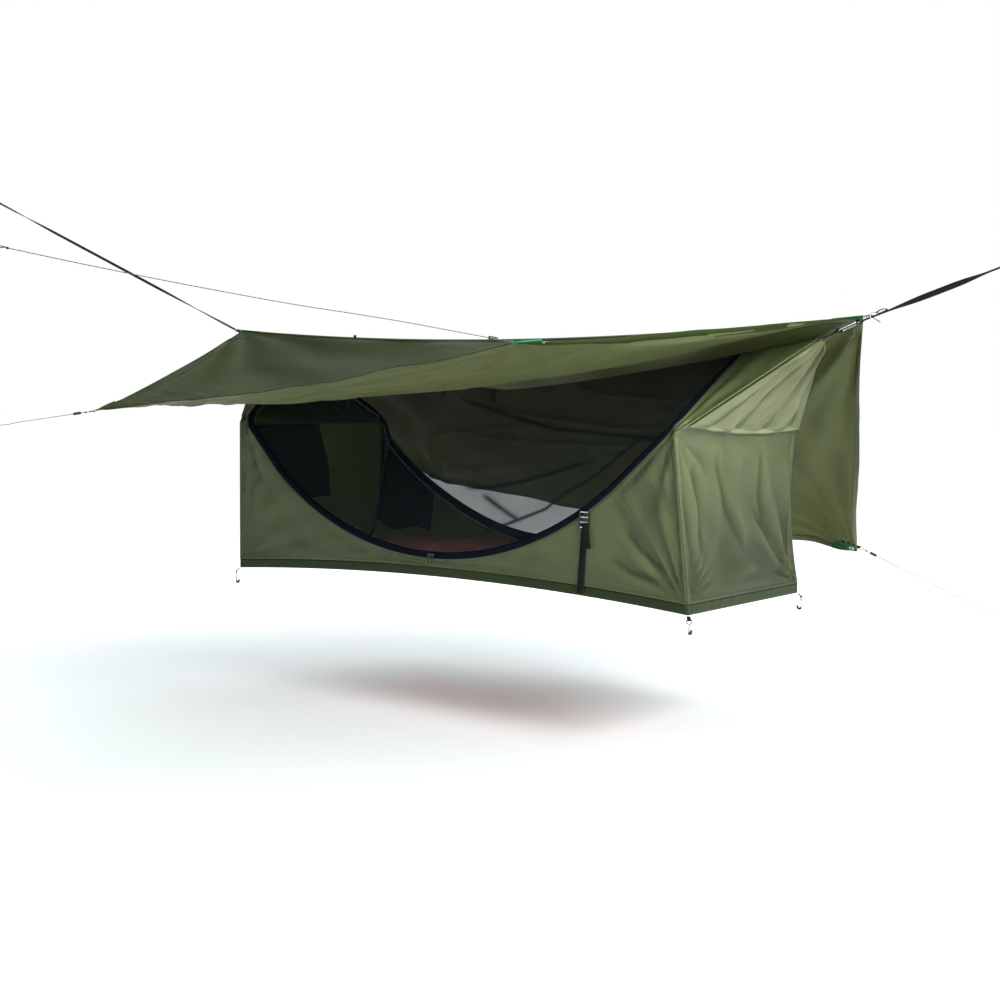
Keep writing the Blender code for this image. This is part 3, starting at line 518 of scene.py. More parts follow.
# Shader maths
class Wire:
    """A shader socket. Its operators add Math nodes, so shader maths reads as arithmetic."""

    def __init__(self, look, socket):
        self.look = look
        self.socket = socket

    def maths(self, operation, *values, clamp=False):
        settings = {"operation": operation, "use_clamp": clamp}
        return self.look.add("ShaderNodeMath", settings, dict(enumerate(values)))

    def __add__(self, other):
        return self.maths("ADD", self, other)

    def __radd__(self, other):
        return self.maths("ADD", other, self)

    def __sub__(self, other):
        return self.maths("SUBTRACT", self, other)

    def __rsub__(self, other):
        return self.maths("SUBTRACT", other, self)

    def __mul__(self, other):
        return self.maths("MULTIPLY", self, other)

    def __rmul__(self, other):
        return self.maths("MULTIPLY", other, self)

    def __truediv__(self, other):
        return self.maths("DIVIDE", self, other)

    def most(self, other):
        return self.maths("MAXIMUM", self, other)

    def sine(self):
        return self.maths("SINE", self)

    def away_from(self, middle):
        return self.maths("ABSOLUTE", self - middle)

    def repeat(self, pitch):
        """Runs from 0 to 1 over each pitch."""
        return self.maths("FRACT", self / pitch)

    def rise(self, low, high):
        """Goes softly from 0 at low to 1 at high."""
        settings = {"interpolation_type": "SMOOTHSTEP"}
        return self.look.add("ShaderNodeMapRange", settings, {0: self, 1: low, 2: high, 3: 0.0, 4: 1.0})

    def stripes(self, pitch):
        """Swings softly between 0 and 1, once over each pitch."""
        return (self * (TURN / pitch)).sine() * 0.5 + 0.5

    def threads(self, pitch, low, high):
        """0 in the middle of each pitch and 1 at its edges; it rises from low to high of the way."""
        return self.repeat(pitch).away_from(0.5).rise(low, high)

    def part(self, axis):
        return self.look.add("ShaderNodeSeparateXYZ", {}, {0: self}, output=axis)


class Look:
    """A named finish: a Principled material, its node maker and the record's slot that it belongs to."""

    def __init__(self, name, slot, colour, roughness, **constants):
        self.material = bpy.data.materials.new(name)
        self.material.use_nodes = True
        self.tree = self.material.node_tree
        self.shader = self.tree.nodes["Principled BSDF"]
        self.slot = slot
        self.set("Base Color", colour)
        self.set("Roughness", roughness)
        for socket, value in constants.items():
            self.set(socket.replace("_", " "), value)

    def put(self, socket, value):
        if isinstance(value, Wire):
            self.tree.links.new(value.socket, socket)
        elif isinstance(value, (int, float)):
            socket.default_value = value
        elif len(socket.default_value) == 4:
            socket.default_value = (*value[:3], 1.0)
        else:
            socket.default_value = value

    def set(self, socket, value):
        self.put(self.shader.inputs[socket], value)

    def add(self, kind, settings, values, output=0):
        """Adds any node: its settings first, then the values or wires of its sockets."""
        node = self.tree.nodes.new(kind)
        for name, value in settings.items():
            setattr(node, name, value)
        for key, value in values.items():
            self.put(node.inputs[key], value)
        return Wire(self, node.outputs[output])

    def attribute(self, name):
        return self.add("ShaderNodeAttribute", {"attribute_name": name}, {}, output="Vector")

    def amount(self, name):
        return self.add("ShaderNodeAttribute", {"attribute_name": name}, {}, output="Fac")

    def place(self):
        return self.add("ShaderNodeTexCoord", {}, {}, output="Object")

    def noise(self, where, scale, detail=2.0, roughness=0.5):
        values = {"Vector": where, "Scale": scale, "Detail": detail, "Roughness": roughness}
        return self.add("ShaderNodeTexNoise", {}, values)

    def blend(self, first, second, share, kind="MIX"):
        settings = {"data_type": "RGBA", "blend_type": kind}
        return self.add("ShaderNodeMix", settings, {0: share, 6: first, 7: second}, output=2)

    def bump(self, height, distance, strength=1.0):
        values = {"Strength": strength, "Distance": distance, "Height": height}
        self.set("Normal", self.add("ShaderNodeBump", {}, values))

    def let_light_through(self, tint, share):
        """Light falls through thin cloth, so a constant share of the shader is translucent."""
        output = self.tree.nodes["Material Output"]
        through = self.add("ShaderNodeBsdfTranslucent", {}, {"Color": tint})
        solid = Wire(self, self.shader.outputs[0])
        mixed = self.add("ShaderNodeMixShader", {}, {0: share, 1: solid, 2: through})
        self.put(output.inputs["Surface"], mixed)
        return self


def shade_of(colour, factor):
    return tuple(channel * factor for channel in colour)


def tinted(colour, tint):
    return tuple(channel * factor for channel, factor in zip(colour, tint))


# Colours of the cloths and fittings, linear
olive = (0.083, 0.104, 0.047)
# The walls' inner face is the same cloth painted lighter than the outer face: painted light.
olive_inside_lit = (0.120, 0.150, 0.080)
olive_floor = (0.017, 0.028, 0.007)
# The tarp's two faces are one cloth: its top is painted darker as shade, its underside lighter as painted
# light.
olive_tarp_shaded_top = (0.022, 0.035, 0.009)
olive_tarp_lit_under = (0.084, 0.098, 0.035)
# The gable flap's cloth painted paler than the walls: painted light.
olive_lit_gable = (0.205, 0.222, 0.118)
glow = (0.50, 0.56, 0.30)
navy = (0.0048, 0.0066, 0.0150)
near_black = (0.0050, 0.0050, 0.0060)
pale_blue = (0.050, 0.062, 0.080)
rust = (0.480, 0.075, 0.042)
bright_green = (0.010, 0.180, 0.080)
patch_green = (0.026, 0.070, 0.032)

# Painted shade at the bottom of a fold and painted highlight at its top, as tints of a cloth's colour
painted_valley_shade = (0.30, 0.31, 0.27)
painted_crown_highlight = (1.60, 1.50, 1.30)


def cloth_look(name, slot, colour, light_share=0.20, roughness=0.42, stitches=False, shine=0.34,
               shading=0.90):
    """Coated ripstop: a square grid of thicker threads, soft crinkles, random tone, and the painted shade
    and painted highlight that each point's shading attribute asks for.
    """
    look = Look(name, slot, colour, roughness, Specular_IOR_Level=shine)
    cut = look.attribute("cut")
    across = cut.part(0).threads(ripstop_pitch, 0.41, 0.49)
    grid = across.most(cut.part(1).threads(ripstop_pitch, 0.41, 0.49))
    clouds = look.noise(look.place(), 3.2, 3.0)
    crinkle = look.noise(cut, 38.0, 4.0, 0.55)
    fine = look.noise(cut, 240.0, 2.0)
    fold_shading = look.amount("fold")
    wear_and_fold_shade = look.blend(shade_of(colour, 0.90), shade_of(colour, 1.12), clouds.rise(0.30, 0.70))
    ribbed = look.blend(wear_and_fold_shade, shade_of(colour, 1.22), grid * 0.28)
    # Painted shade: the colour falls towards the valley tint where the shading attribute is positive, and
    # rises to a painted highlight where it is negative.
    folded = look.blend(ribbed, tinted(colour, painted_valley_shade), fold_shading * shading)
    folded = look.blend(folded, tinted(colour, painted_crown_highlight), fold_shading * -0.65)
    height = crinkle * 0.9 + grid * 0.10 + fine * 0.05
    if stitches:
        seam = look.attribute("seam")
        row = 1 - seam.part(1).away_from(0.0).away_from(hem_width / 2 - stitch_inset).rise(0.0004, 0.0011)
        dash = seam.part(0).threads(stitch_pitch, 0.12, 0.20)
        thread = row * (1 - dash)
        folded = look.blend(folded, shade_of(colour, 1.45), thread * 0.75)
        height = height + thread * 0.30 - row * 0.35
    look.set("Base Color", folded)
    look.set("Roughness", 0.10 * clouds + (roughness - 0.05))
    look.bump(height, 0.0016, 0.55)
    return look.let_light_through(glow, light_share)


def net_look(name, density, dark=(0.0022, 0.0032, 0.0068), pale=(0.0052, 0.0075, 0.0160)):
    """Fine mesh: open cells between dark threads, denser along the listed crease lines, partly doubled net
    and partly painted shade.
    """
    look = Look(name, "insect_net", (0.004, 0.005, 0.008), 0.90, Specular_IOR_Level=0.0)
    cut = look.attribute("cut")
    warp = cut.part(0).threads(net_pitch, 0.25, 0.45)
    threads = warp.most(cut.part(1).threads(net_pitch, 0.25, 0.45))
    patches = look.noise(look.place(), 5.0, 3.0).rise(0.30, 0.75)
    fold_and_shade_lines = look.amount("fold")
    look.set("Alpha", (density - 0.10) + threads * 0.12 + patches * 0.07 + fold_and_shade_lines * 0.40)
    look.set("Base Color", look.blend(dark, pale, threads))
    return look


def tape_look(name, colour, slot="zip_tape", pitch=0.0021):
    """Woven tape: fine ribs along it that lean one way and then the other, like a herringbone."""
    look = Look(name, slot, colour, 0.80, Specular_IOR_Level=0.05)
    seam = look.attribute("seam")
    ribs = (seam.part(0) + seam.part(1).away_from(0.0)).stripes(pitch)
    wear = look.noise(look.place(), 14.0, 3.0)
    woven = look.blend(shade_of(colour, 0.75), shade_of(colour, 1.75), ribs)
    look.set("Base Color", look.blend(woven, shade_of(colour, 2.0), wear.rise(0.52, 0.85) * 0.3))
    look.bump(ribs + wear * 0.4, 0.0005, 0.6)
    return look


def webbing_look(name, slot, colour, selvedge=0.012):
    """Flat webbing: ribs straight across, a chevron weave and thicker selvedges."""
    look = Look(name, slot, colour, 0.78, Specular_IOR_Level=0.12)
    seam = look.attribute("seam")
    lean = seam.part(1).away_from(0.0)
    ribs = (seam.part(0) * 2.0 + lean).stripes(web_pitch)
    edge = lean.rise(selvedge * 0.72, selvedge * 0.86)
    fuzz = look.noise(look.place(), 420.0, 2.0)
    woven = look.blend(shade_of(colour, 0.65), shade_of(colour, 1.9), ribs * 0.7 + fuzz * 0.3)
    look.set("Base Color", look.blend(woven, shade_of(colour, 2.3), edge * 0.4))
    look.bump(ribs + edge * 0.8 + fuzz * 0.5, 0.0004, 0.8)
    return look


def cord_look(name, slot, colour, tracer=None, pitch=0.016):
    """Braided cord, with a reflective tracer that shows as a row of pale dashes."""
    look = Look(name, slot, colour, 0.55)
    seam = look.attribute("seam")
    along = seam.part(0) * (TURN / strand_pitch)
    around = seam.part(1) * (TURN / strand_turn)
    braid = (along + around).sine().most((along - around).sine()) * 0.5 + 0.5
    shown = look.blend(shade_of(colour, 0.6), shade_of(colour, 1.6), braid)
    if tracer is not None:
        dash = seam.part(0).repeat(pitch).rise(0.56, 0.64)
        shown = look.blend(shown, tracer, dash * 0.9)
    look.set("Base Color", shown)
    look.bump(braid, 0.0003, 0.7)
    return look


def moulded_look(name, slot, colour, roughness=0.38):
    """Moulded nylon: a fine spark-eroded grain with a few scuffs."""
    look = Look(name, slot, colour, roughness, Specular_IOR_Level=0.30)
    grain = look.noise(look.place(), 900.0, 2.0)
    scuffs = look.noise(look.place(), 60.0, 4.0).rise(0.58, 0.80)
    look.set("Base Color", look.blend(colour, shade_of(colour, 2.6), scuffs * 0.5))
    look.set("Roughness", scuffs * 0.25 + roughness)
    look.bump(grain, 0.0002, 0.4)
    return look


def metal_look(name, slot, colour, roughness):
    """Drawn metal: long fine scratches, and duller smudges from handling."""
    look = Look(name, slot, colour, roughness, Metallic=1.0)
    place = look.place()
    stretched = look.add("ShaderNodeMapping", {}, {"Vector": place, "Scale": (60.0, 900.0, 900.0)})
    drawn = look.noise(stretched, 1.0, 3.0)
    smudge = look.noise(place, 45.0, 3.0)
    look.set("Base Color", look.blend(shade_of(colour, 0.80), shade_of(colour, 1.12), drawn))
    look.set("Roughness", roughness * 0.7 + smudge * roughness * 0.7)
    look.bump(drawn, 0.0001, 0.3)
    return look


def pad_look():
    """Brushed polyester over the pad: short nap, a soft twill and paler worn crowns."""
    look = Look("pad_cover", "pad_fabric", rust, 0.80, Specular_IOR_Level=0.15, Sheen_Weight=0.25)
    cut = look.attribute("cut")
    twill = (cut.part(0) + cut.part(1)).stripes(twill_pitch)
    nap = look.noise(cut, 300.0, 3.0)
    wear_and_fold_shade = look.noise(look.place(), 9.0, 3.0).rise(0.35, 0.75)
    tone = look.blend(shade_of(rust, 0.72), shade_of(rust, 1.30), wear_and_fold_shade)
    look.set("Base Color", look.blend(tone, shade_of(rust, 1.7), twill * nap * 0.5))
    look.set("Roughness", nap * 0.15 + 0.72)
    look.bump(twill * 0.5 + nap, 0.0005, 0.7)
    return look


def thread_look(name, slot, colour):
    """Sewing thread: a tight twist along each stitch."""
    look = Look(name, slot, colour, 0.50)
    twist = look.place().part(0).stripes(twist_pitch)
    look.set("Base Color", look.blend(shade_of(colour, 0.7), shade_of(colour, 1.3), twist))
    look.bump(twist, 0.0002, 0.5)
    return look


wall_outside = cloth_look("wall_ripstop", "ripstop_cloth", olive, shine=0.26)
wall_inside = cloth_look(
    "wall_ripstop_inside", "ripstop_cloth", olive_inside_lit, light_share=0.42, shading=0.25
)
wall_hem = cloth_look("wall_hem", "ripstop_cloth", shade_of(olive, 1.12), stitches=True)
# Painted light: the gable flap and its hem use the paler copy of the wall cloth.
wall_gable = cloth_look("gable_ripstop", "ripstop_cloth", olive_lit_gable, light_share=0.36)
gable_hem = cloth_look("gable_hem", "ripstop_cloth", olive_lit_gable, light_share=0.24, stitches=True)
floor_outside = cloth_look("floor_cloth", "floor_cloth", olive_floor, light_share=0.05, shine=0.16)
# Painted shade on the tarp's top and painted light on its underside, two tones of one cloth.
tarp_top = cloth_look("tarp_top", "tarp_cloth", olive_tarp_shaded_top, light_share=0.14, roughness=0.60, shine=0.05)
tarp_under = cloth_look(
    "tarp_underside", "tarp_cloth", olive_tarp_lit_under, light_share=0.24, roughness=0.52, shine=0.20
)
tarp_hem = cloth_look(
    "tarp_hem", "tarp_cloth", shade_of(olive_tarp_lit_under, 1.05), light_share=0.24, stitches=True
)
tarp_hem_top = cloth_look(
    "tarp_hem_top", "tarp_cloth", olive_tarp_shaded_top, light_share=0.12, roughness=0.60, stitches=True, shine=0.06
)
front_net_look = net_look("front_net", 0.62, (0.0072, 0.0096, 0.0120), (0.0130, 0.0165, 0.0215))
rear_net_look = net_look("rear_net", 0.56, (0.0180, 0.0240, 0.0020), (0.0260, 0.0340, 0.0040))
pocket_look = net_look("pocket_net", 0.86)
zip_tape_look = tape_look("zip_tape", shade_of(navy, 0.55))
coil_look = tape_look("zip_coil", near_black, pitch=0.0016)
piping_look = cord_look("pale_piping", "zip_tape", pale_blue)
rear_piping_look = cord_look("rear_piping", "zip_tape", shade_of(pale_blue, 10))
black_web = webbing_look("black_webbing", "black_webbing", near_black)
tab_web = webbing_look("tab_webbing", "black_webbing", near_black, selvedge=0.007)
green_web = webbing_look("green_webbing", "green_webbing", bright_green, selvedge=0.009)
navy_web = webbing_look("navy_webbing", "navy_webbing", shade_of(navy, 1.3))
tan_thread = thread_look("tan_thread", "navy_webbing", (0.42, 0.33, 0.20))
dark_thread = thread_look("dark_thread", "black_webbing", (0.030, 0.030, 0.033))
guy_look = cord_look("guy_cord", "guy_cord", (0.010, 0.0105, 0.012), tracer=(0.10, 0.104, 0.108))
ridge_look = cord_look("ridge_cord", "guy_cord", (0.030, 0.032, 0.034))
pull_look = cord_look("pull_cord", "pull_cord", near_black)
plastic_look = moulded_look("black_plastic", "black_plastic", (0.014, 0.014, 0.016))
grey_bar_look = moulded_look("grey_bar", "black_plastic", (0.40, 0.41, 0.43))
white_bar_look = moulded_look("white_bar", "black_plastic", (0.80, 0.81, 0.83))
grommet_look = moulded_look("pale_grommet", "tarp_cloth", (0.66, 0.68, 0.68), 0.30)
steel_look = metal_look("steel", "steel", (0.60, 0.61, 0.62), 0.22)
slider_look = metal_look("slider_black", "steel", (0.055, 0.055, 0.060), 0.34)
alloy_look = metal_look("alloy", "alloy", (0.44, 0.45, 0.46), 0.34)
patch_look = tape_look("patch_cloth", patch_green, slot="tarp_cloth", pitch=0.0030)
pad_cover = pad_look()


# Making cloth, webbing and wire
def lowered(point):
    return Vector((point.x, point.y, point.z - hang_height))


def frame_along(origin, along, across):
    """A frame with X along, Z as near across as it can be, and Y completing it."""
    x = Vector(along).normalized()
    z = Vector(across)
    z = (z - x * z.dot(x)).normalized()
    turned = Matrix((x, z.cross(x), z)).transposed().to_4x4()
    return Matrix.Translation(origin) @ turned


def dress(thing, look, body, nodes=()):
    """Gives a piece its finish and hangs it on its body, in place of the frame's own nodes."""
    thing.data.materials.append(look.material)
    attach(thing, body)
    if nodes:
        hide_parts(*nodes)
    return thing


def made_from(shape, name):
    mesh = bpy.data.meshes.new(name)
    shape.to_mesh(mesh)
    shape.free()
    mesh.shade_smooth()
    thing = bpy.data.objects.new(name, mesh)
    bpy.context.scene.collection.objects.link(thing)
    return thing


def hollowness(spots, column, row, middle, reach):
    """How deep a point of a grid lies below its neighbours, as a share of fold_height."""
    here = spots[column][row]
    across = min(reach, column, len(spots) - 1 - column)
    up = min(reach, row, len(spots[0]) - 1 - row)
    if not across or not up:
        return 0.0
    left, right = spots[column - across][row], spots[column + across][row]
    low, high = spots[column][row - up], spots[column][row + up]
    normal = (right - left).cross(high - low).normalized()
    if normal.dot(here - middle) < 0:
        normal = -normal
    return ((left + right + low + high) / 4 - here).dot(normal) / fold_height


def lay(name, place, cells, look, body, nodes=(), thickness=wall_cloth, inner=None,
        cut=(0, 2), fold=None, middle=BODY_MIDDLE, wear_and_fold_shade=False):
    """A sewn sheet on a grid. Its points know their place in the uncut cloth and along the seam, and carry
    the painted shading of their colour.
    """
    columns, rows = cells
    shape = bmesh.new()
    cut_layer = shape.verts.layers.float_vector.new("cut")
    seam_layer = shape.verts.layers.float_vector.new("seam")
    painted_shading_layer = shape.verts.layers.float.new("fold")
    spots = [[place(c / columns, r / rows) for r in range(rows + 1)] for c in range(columns + 1)]
    run = 0.0
    grid = []
    for column, line in enumerate(spots):
        if column:
            run += (line[rows // 2] - spots[column - 1][rows // 2]).length
        steps = [0.0]
        for low, high in zip(line, line[1:]):
            steps.append(steps[-1] + (high - low).length)
        made = []
        for row, spot in enumerate(line):
            vertex = shape.verts.new(lowered(spot))
            vertex[cut_layer] = (spot[cut[0]], spot[cut[1]], 0.0)
            vertex[seam_layer] = (run, steps[row] - steps[-1] / 2, 0.0)
            # Painted shading per point: positive values paint shade into the colour, negative values paint
            # a highlight.
            hollow = fold(spot) if fold else 0.0
            # Painted shade in the cloth's hollows and painted highlight on its crowns, from the grid's own
            # curvature.
            if wear_and_fold_shade:
                hollow += 0.26 * hollowness(spots, column, row, middle, fine_reach)
                hollow += 0.11 * hollowness(spots, column, row, middle, broad_reach)
            vertex[painted_shading_layer] = max(-1.0, min(1.0, hollow))
            made.append(vertex)
        grid.append(made)
    outward = 0.0
    for left, right in zip(grid, grid[1:]):
        for row in range(rows):
            face = shape.faces.new((left[row], right[row], right[row + 1], left[row + 1]))
            face.normal_update()
            outward += face.normal.dot(face.calc_center_median() - lowered(middle)) * face.calc_area()
    if outward < 0:
        bmesh.ops.reverse_faces(shape, faces=shape.faces)
    bmesh.ops.remove_doubles(shape, verts=shape.verts, dist=touch_gap / 4)
    thing = dress(made_from(shape, name), look, body, nodes)
    if inner:
        thing.data.materials.append(inner.material)
    if thickness:
        cloth = thing.modifiers.new("cloth", "SOLIDIFY")
        cloth.thickness = thickness
        cloth.offset = 0.0
        cloth.material_offset = 1 if inner else 0
    return thing


class Cloth:
    """A panel's surface: place(across, up) is the taut cloth, and relief(spot) how far folds lift it."""

    def __init__(self, place, middle, relief=None):
        self.place = place
        self.middle = middle
        self.relief = relief

    def normal(self, across, up):
        step = 0.004
        ahead = self.place(min(1.0, across + step), up) - self.place(max(0.0, across - step), up)
        above = self.place(across, min(1.0, up + step)) - self.place(across, max(0.0, up - step))
        normal = ahead.cross(above).normalized()
        return -normal if normal.dot(self.place(across, up) - self.middle) < 0 else normal

    def spot(self, across, up, lift=0.0):
        point = self.place(across, up)
        height = self.relief(point, across, up) if self.relief else 0.0
        return point + self.normal(across, up) * (height + lift)

    def wide(self, up):
        return (self.place(1, up) - self.place(0, up)).length

    def tall(self, across):
        return (self.place(across, 1) - self.place(across, 0)).length

    def band(self, edge, width, lift, start=0.0, stop=1.0):
        """Places on a strip of that width along one edge."""
        def place(along, inwards):
            run = start + (stop - start) * along
            if edge in ("low", "high"):
                share = min(0.5, inwards * width / self.tall(run))
                return self.spot(run, share if edge == "low" else 1 - share, lift)
            share = min(0.5, inwards * width / self.wide(run))
            return self.spot(share if edge == "left" else 1 - share, run, lift)
        return place


def declare_cloth(place, cells=40, strip=False):
    """Measures the flat piece a panel was cut from, taut, a strip by its mean width; the sizes are not
    kept.
    """
    spots = [[place(c / cells, r / cells) for r in range(cells + 1)] for c in range(cells + 1)]
    across = max(path_length([column[row] for column in spots]) for row in range(cells + 1))
    up = max(path_length(column) for column in spots)
    area = 0.0
    for left, right in zip(spots, spots[1:]):
        for row in range(cells):
            area += (right[row + 1] - left[row]).cross(left[row + 1] - right[row]).length / 2
    if strip:
        across = path_length([column[cells // 2] for column in spots])
        up = area / across


def swell(spot, size, depth, seed=0.0):
    """Soft uneven swelling, about size across."""
    return depth * noise.noise(Vector((spot[0] / size + seed, spot[1] / size - seed, seed)))


def fan(spot, held, blades, depth, near, far, seed=0.0):
    """Folds that run out of a held point and die away."""
    reach = math.hypot(spot[0] - held[0], spot[1] - held[1])
    turn = math.atan2(spot[1] - held[1], spot[0] - held[0])
    drift = 2.2 * noise.noise(Vector((turn * 1.9 + seed, reach * 2.3, seed)))
    strength = smooth(reach / near) * (1 - smooth((reach / far - 0.35) / 0.65))
    return depth * math.sin(blades * turn + drift + seed) * strength


def beside_line(spot, line):
    """The signed distance to a line of points, and the share of the way along it."""
    best = (1e9, 0.0)
    count = len(line) - 1
    for index in range(count):
        ax, ay = line[index]
        bx, by = line[index + 1]
        dx, dy = bx - ax, by - ay
        long = dx * dx + dy * dy
        part = max(0.0, min(1.0, ((spot[0] - ax) * dx + (spot[1] - ay) * dy) / long))
        gap_x, gap_y = spot[0] - ax - part * dx, spot[1] - ay - part * dy
        away = math.hypot(gap_x, gap_y)
        if away < abs(best[0]):
            best = (math.copysign(away, dx * gap_y - dy * gap_x), (index + part) / count)
    return best


def fold_shading(spot, lines, width):
    """How strongly a spot lies in one of the listed crease lines, from 0 to 1: the mask of painted crease
    shade.
    """
    most = 0.0
    for line in lines:
        away, along = beside_line(spot, line)
        most = max(most, math.exp(-(away / width) ** 2) * fade(along, 0.18))
    return most


def creases(spot, lines, width, depth):
    """A soft valley along each line, with a lip beside it."""
    total = 0.0
    for line in lines:
        away, along = beside_line(spot, line)
        valley = math.exp(-(away / width) ** 2)
        lip = math.exp(-((away - 1.7 * width) / (1.5 * width)) ** 2)
        total += (0.6 * lip - valley) * fade(along, 0.25)
    return depth * total


def curve_through(points, steps=6, closed=False):
    """A smooth curve through the points."""
    count = len(points)
    spans = count if closed else count - 1
    made = []
    for span in range(spans):
        if closed:
            a, b, c, d = (points[(span + k) % count] for k in (-1, 0, 1, 2))
        else:
            a, b, c, d = (points[max(0, min(count - 1, span + k))] for k in (-1, 0, 1, 2))
        for step in range(steps):
            t = step / steps
            made.append(0.5 * (2 * b + (c - a) * t + (2 * a - 5 * b + 4 * c - d) * t * t
                               + (3 * b - a - 3 * c + d) * t * t * t))
    if not closed:
        made.append(points[-1].copy())
    return made


def round_section(radius, sides=10):
    turns = [TURN * side / sides for side in range(sides)]
    return [(radius * math.cos(turn), radius * math.sin(turn), radius * turn) for turn in turns]


def flat_section(width, ply):
    """Webbing seen end on: flat faces and rounded selvedges."""
    half = width / 2
    edge = ply / 2
    points = []
    for side in (1, -1):
        for turn in (-60, -20, 20, 60):
            x = side * (half - edge + edge * math.cos(math.radians(turn)))
            points.append((x, side * edge * math.sin(math.radians(turn)), x))
        points.append((side * half * 0.5, side * edge, side * half * 0.5))
        points.append((-side * half * 0.5, side * edge, -side * half * 0.5))
    return points


def sweep(name, path, section, look, body, nodes=(), across=None, closed=False, swelling=None):
    """Draws a section along a path: webbing where across is given, otherwise a wire or a cord."""
    shape = bmesh.new()
    seam_layer = shape.verts.layers.float_vector.new("seam")
    cut_layer = shape.verts.layers.float_vector.new("cut")
    count = len(path)
    rings = []
    run = 0.0
    side = None
    for index, point in enumerate(path):
        after = path[(index + 1) % count] if closed or index + 1 < count else point
        before = path[index - 1] if closed or index else point
        along = (after - before).normalized()
        if across is not None:
            side = across[index] if isinstance(across, list) else across
        elif side is None:
            side = along.orthogonal()
        side = (side - along * side.dot(along)).normalized()
        face = side.cross(along)
        if index:
            run += (point - path[index - 1]).length
        scale = swelling(index) if swelling else 1.0
        ring = []
        for u, v, label in section:
            vertex = shape.verts.new(lowered(point + side * u * scale + face * v * scale))
            vertex[seam_layer] = (run, label, 0.0)
            vertex[cut_layer] = (run, label, 0.0)
            ring.append(vertex)
        rings.append(ring)
    pairs = list(zip(rings, rings[1:])) + ([(rings[-1], rings[0])] if closed else [])
    size = len(section)
    for near, far in pairs:
        for corner in range(size):
            beside = (corner + 1) % size
            shape.faces.new((near[corner], near[beside], far[beside], far[corner]))
    if not closed:
        shape.faces.new(rings[0])
        shape.faces.new(reversed(rings[-1]))
    bmesh.ops.recalc_face_normals(shape, faces=shape.faces)
    return dress(made_from(shape, name), look, body, nodes)


def arc(centre, radius, start, stop, steps):
    turns = [start + (stop - start) * step / steps for step in range(steps + 1)]
    return [Vector((centre[0] + radius * math.cos(a), centre[1] + radius * math.sin(a), 0)) for a in turns]


def loop_path(length, eye, ply):
    """The side line of a folded strap: in along one ply, round the eye, and back along the other."""
    lie = ply / 2 + touch_gap / 4
    radius = eye + ply / 2
    part = [Vector((length * share, -lie, 0)) for share in (1.0, 0.75, 0.5)]
    if length > 4 * radius:
        part.append(Vector((2.6 * radius, -lie, 0)))
    return part + arc((0, 0), radius, math.radians(-65), math.radians(-295), 10) + [
        Vector((p.x, -p.y, 0)) for p in reversed(part)
    ]


def folded(name, length, eye, ply, width, place, look, body, nodes=()):
    """A strap folded round an eye and sewn to itself."""
    path = [place @ point for point in curve_through(loop_path(length, eye, ply), 4)]
    across = place.to_3x3() @ UP
    return sweep(name, path, flat_section(width, ply), look, body, nodes, across=across)


def bar_tack(name, place, width, length, thread, look, body, passes=7):
    """A dense zigzag of thread that holds webbing down, on the face that place's Y points to."""
    path = []
    for turn in range(passes + 1):
        x = length * (turn / passes - 0.5)
        path.append(place @ Vector((x, 0, width * (0.5 if turn % 2 else -0.5))))
    return sweep(name, path, round_section(thread, 6), look, body)


def wrap(name, centre, along, radius, thread, turns, look, body):
    """A knot: a cord wound a few turns round a line."""
    place = frame_along(centre, along, along.orthogonal())
    steps = turns * 10
    path = []
    for step in range(steps + 1):
        turn = TURN * step / 10
        run = thread * 2.1 * (step / 10 - turns / 2)
        path.append(place @ Vector((run, radius * math.cos(turn), radius * math.sin(turn))))
    return sweep(name, path, round_section(thread, 8), look, body)


def grommet(name, place, look, body):
    """A turned ring with rounded edges, on place's Z."""
    section = [(math.cos(a) * (grommet_radius - grommet_bore) / 2, math.sin(a) * grommet_height / 2, 0.0)
               for a in (TURN * k / 10 for k in range(10))]
    path = [place @ (Vector((math.cos(a), math.sin(a), 0)) * (grommet_radius + grommet_bore) / 2)
            for a in (TURN * k / 28 for k in range(28))]
    across = [point - place.translation for point in path]
    return sweep(name, path, section, look, body, across=across, closed=True)


# Folds, as lines in each cloth's own cut: walls by x and z, ends by y and z, tarp by x and y
front_wall_lines = [
    [(0.888, 0.509), (0.800, 0.430), (0.716, 0.366)],
    [(0.930, 0.120), (0.820, 0.190), (0.735, 0.270)],
    [(0.935, 0.090), (0.790, 0.120), (0.680, 0.165)],
    [(-0.925, 0.499), (-0.905, 0.400), (-0.870, 0.330)],
]
right_end_lines = [
    [(0.080, 0.332), (0.222, 0.193), (0.306, 0.054)],
    [(-0.318, 0.517), (-0.269, 0.360), (-0.260, 0.165)],
    [(-0.167, 0.545), (-0.094, 0.351), (0.026, 0.147)],
    [(0.167, 0.536), (0.161, 0.332), (0.220, 0.128)],
    [(-0.397, 0.453), (-0.356, 0.239), (-0.294, 0.073)],
    [(0.305, 0.046), (0.115, 0.092), (-0.064, 0.082)],
]
left_end_lines = [
    [(-0.300, 0.480), (-0.160, 0.300), (-0.080, 0.120)],
    [(0.310, 0.460), (0.200, 0.250), (0.240, 0.100)],
]
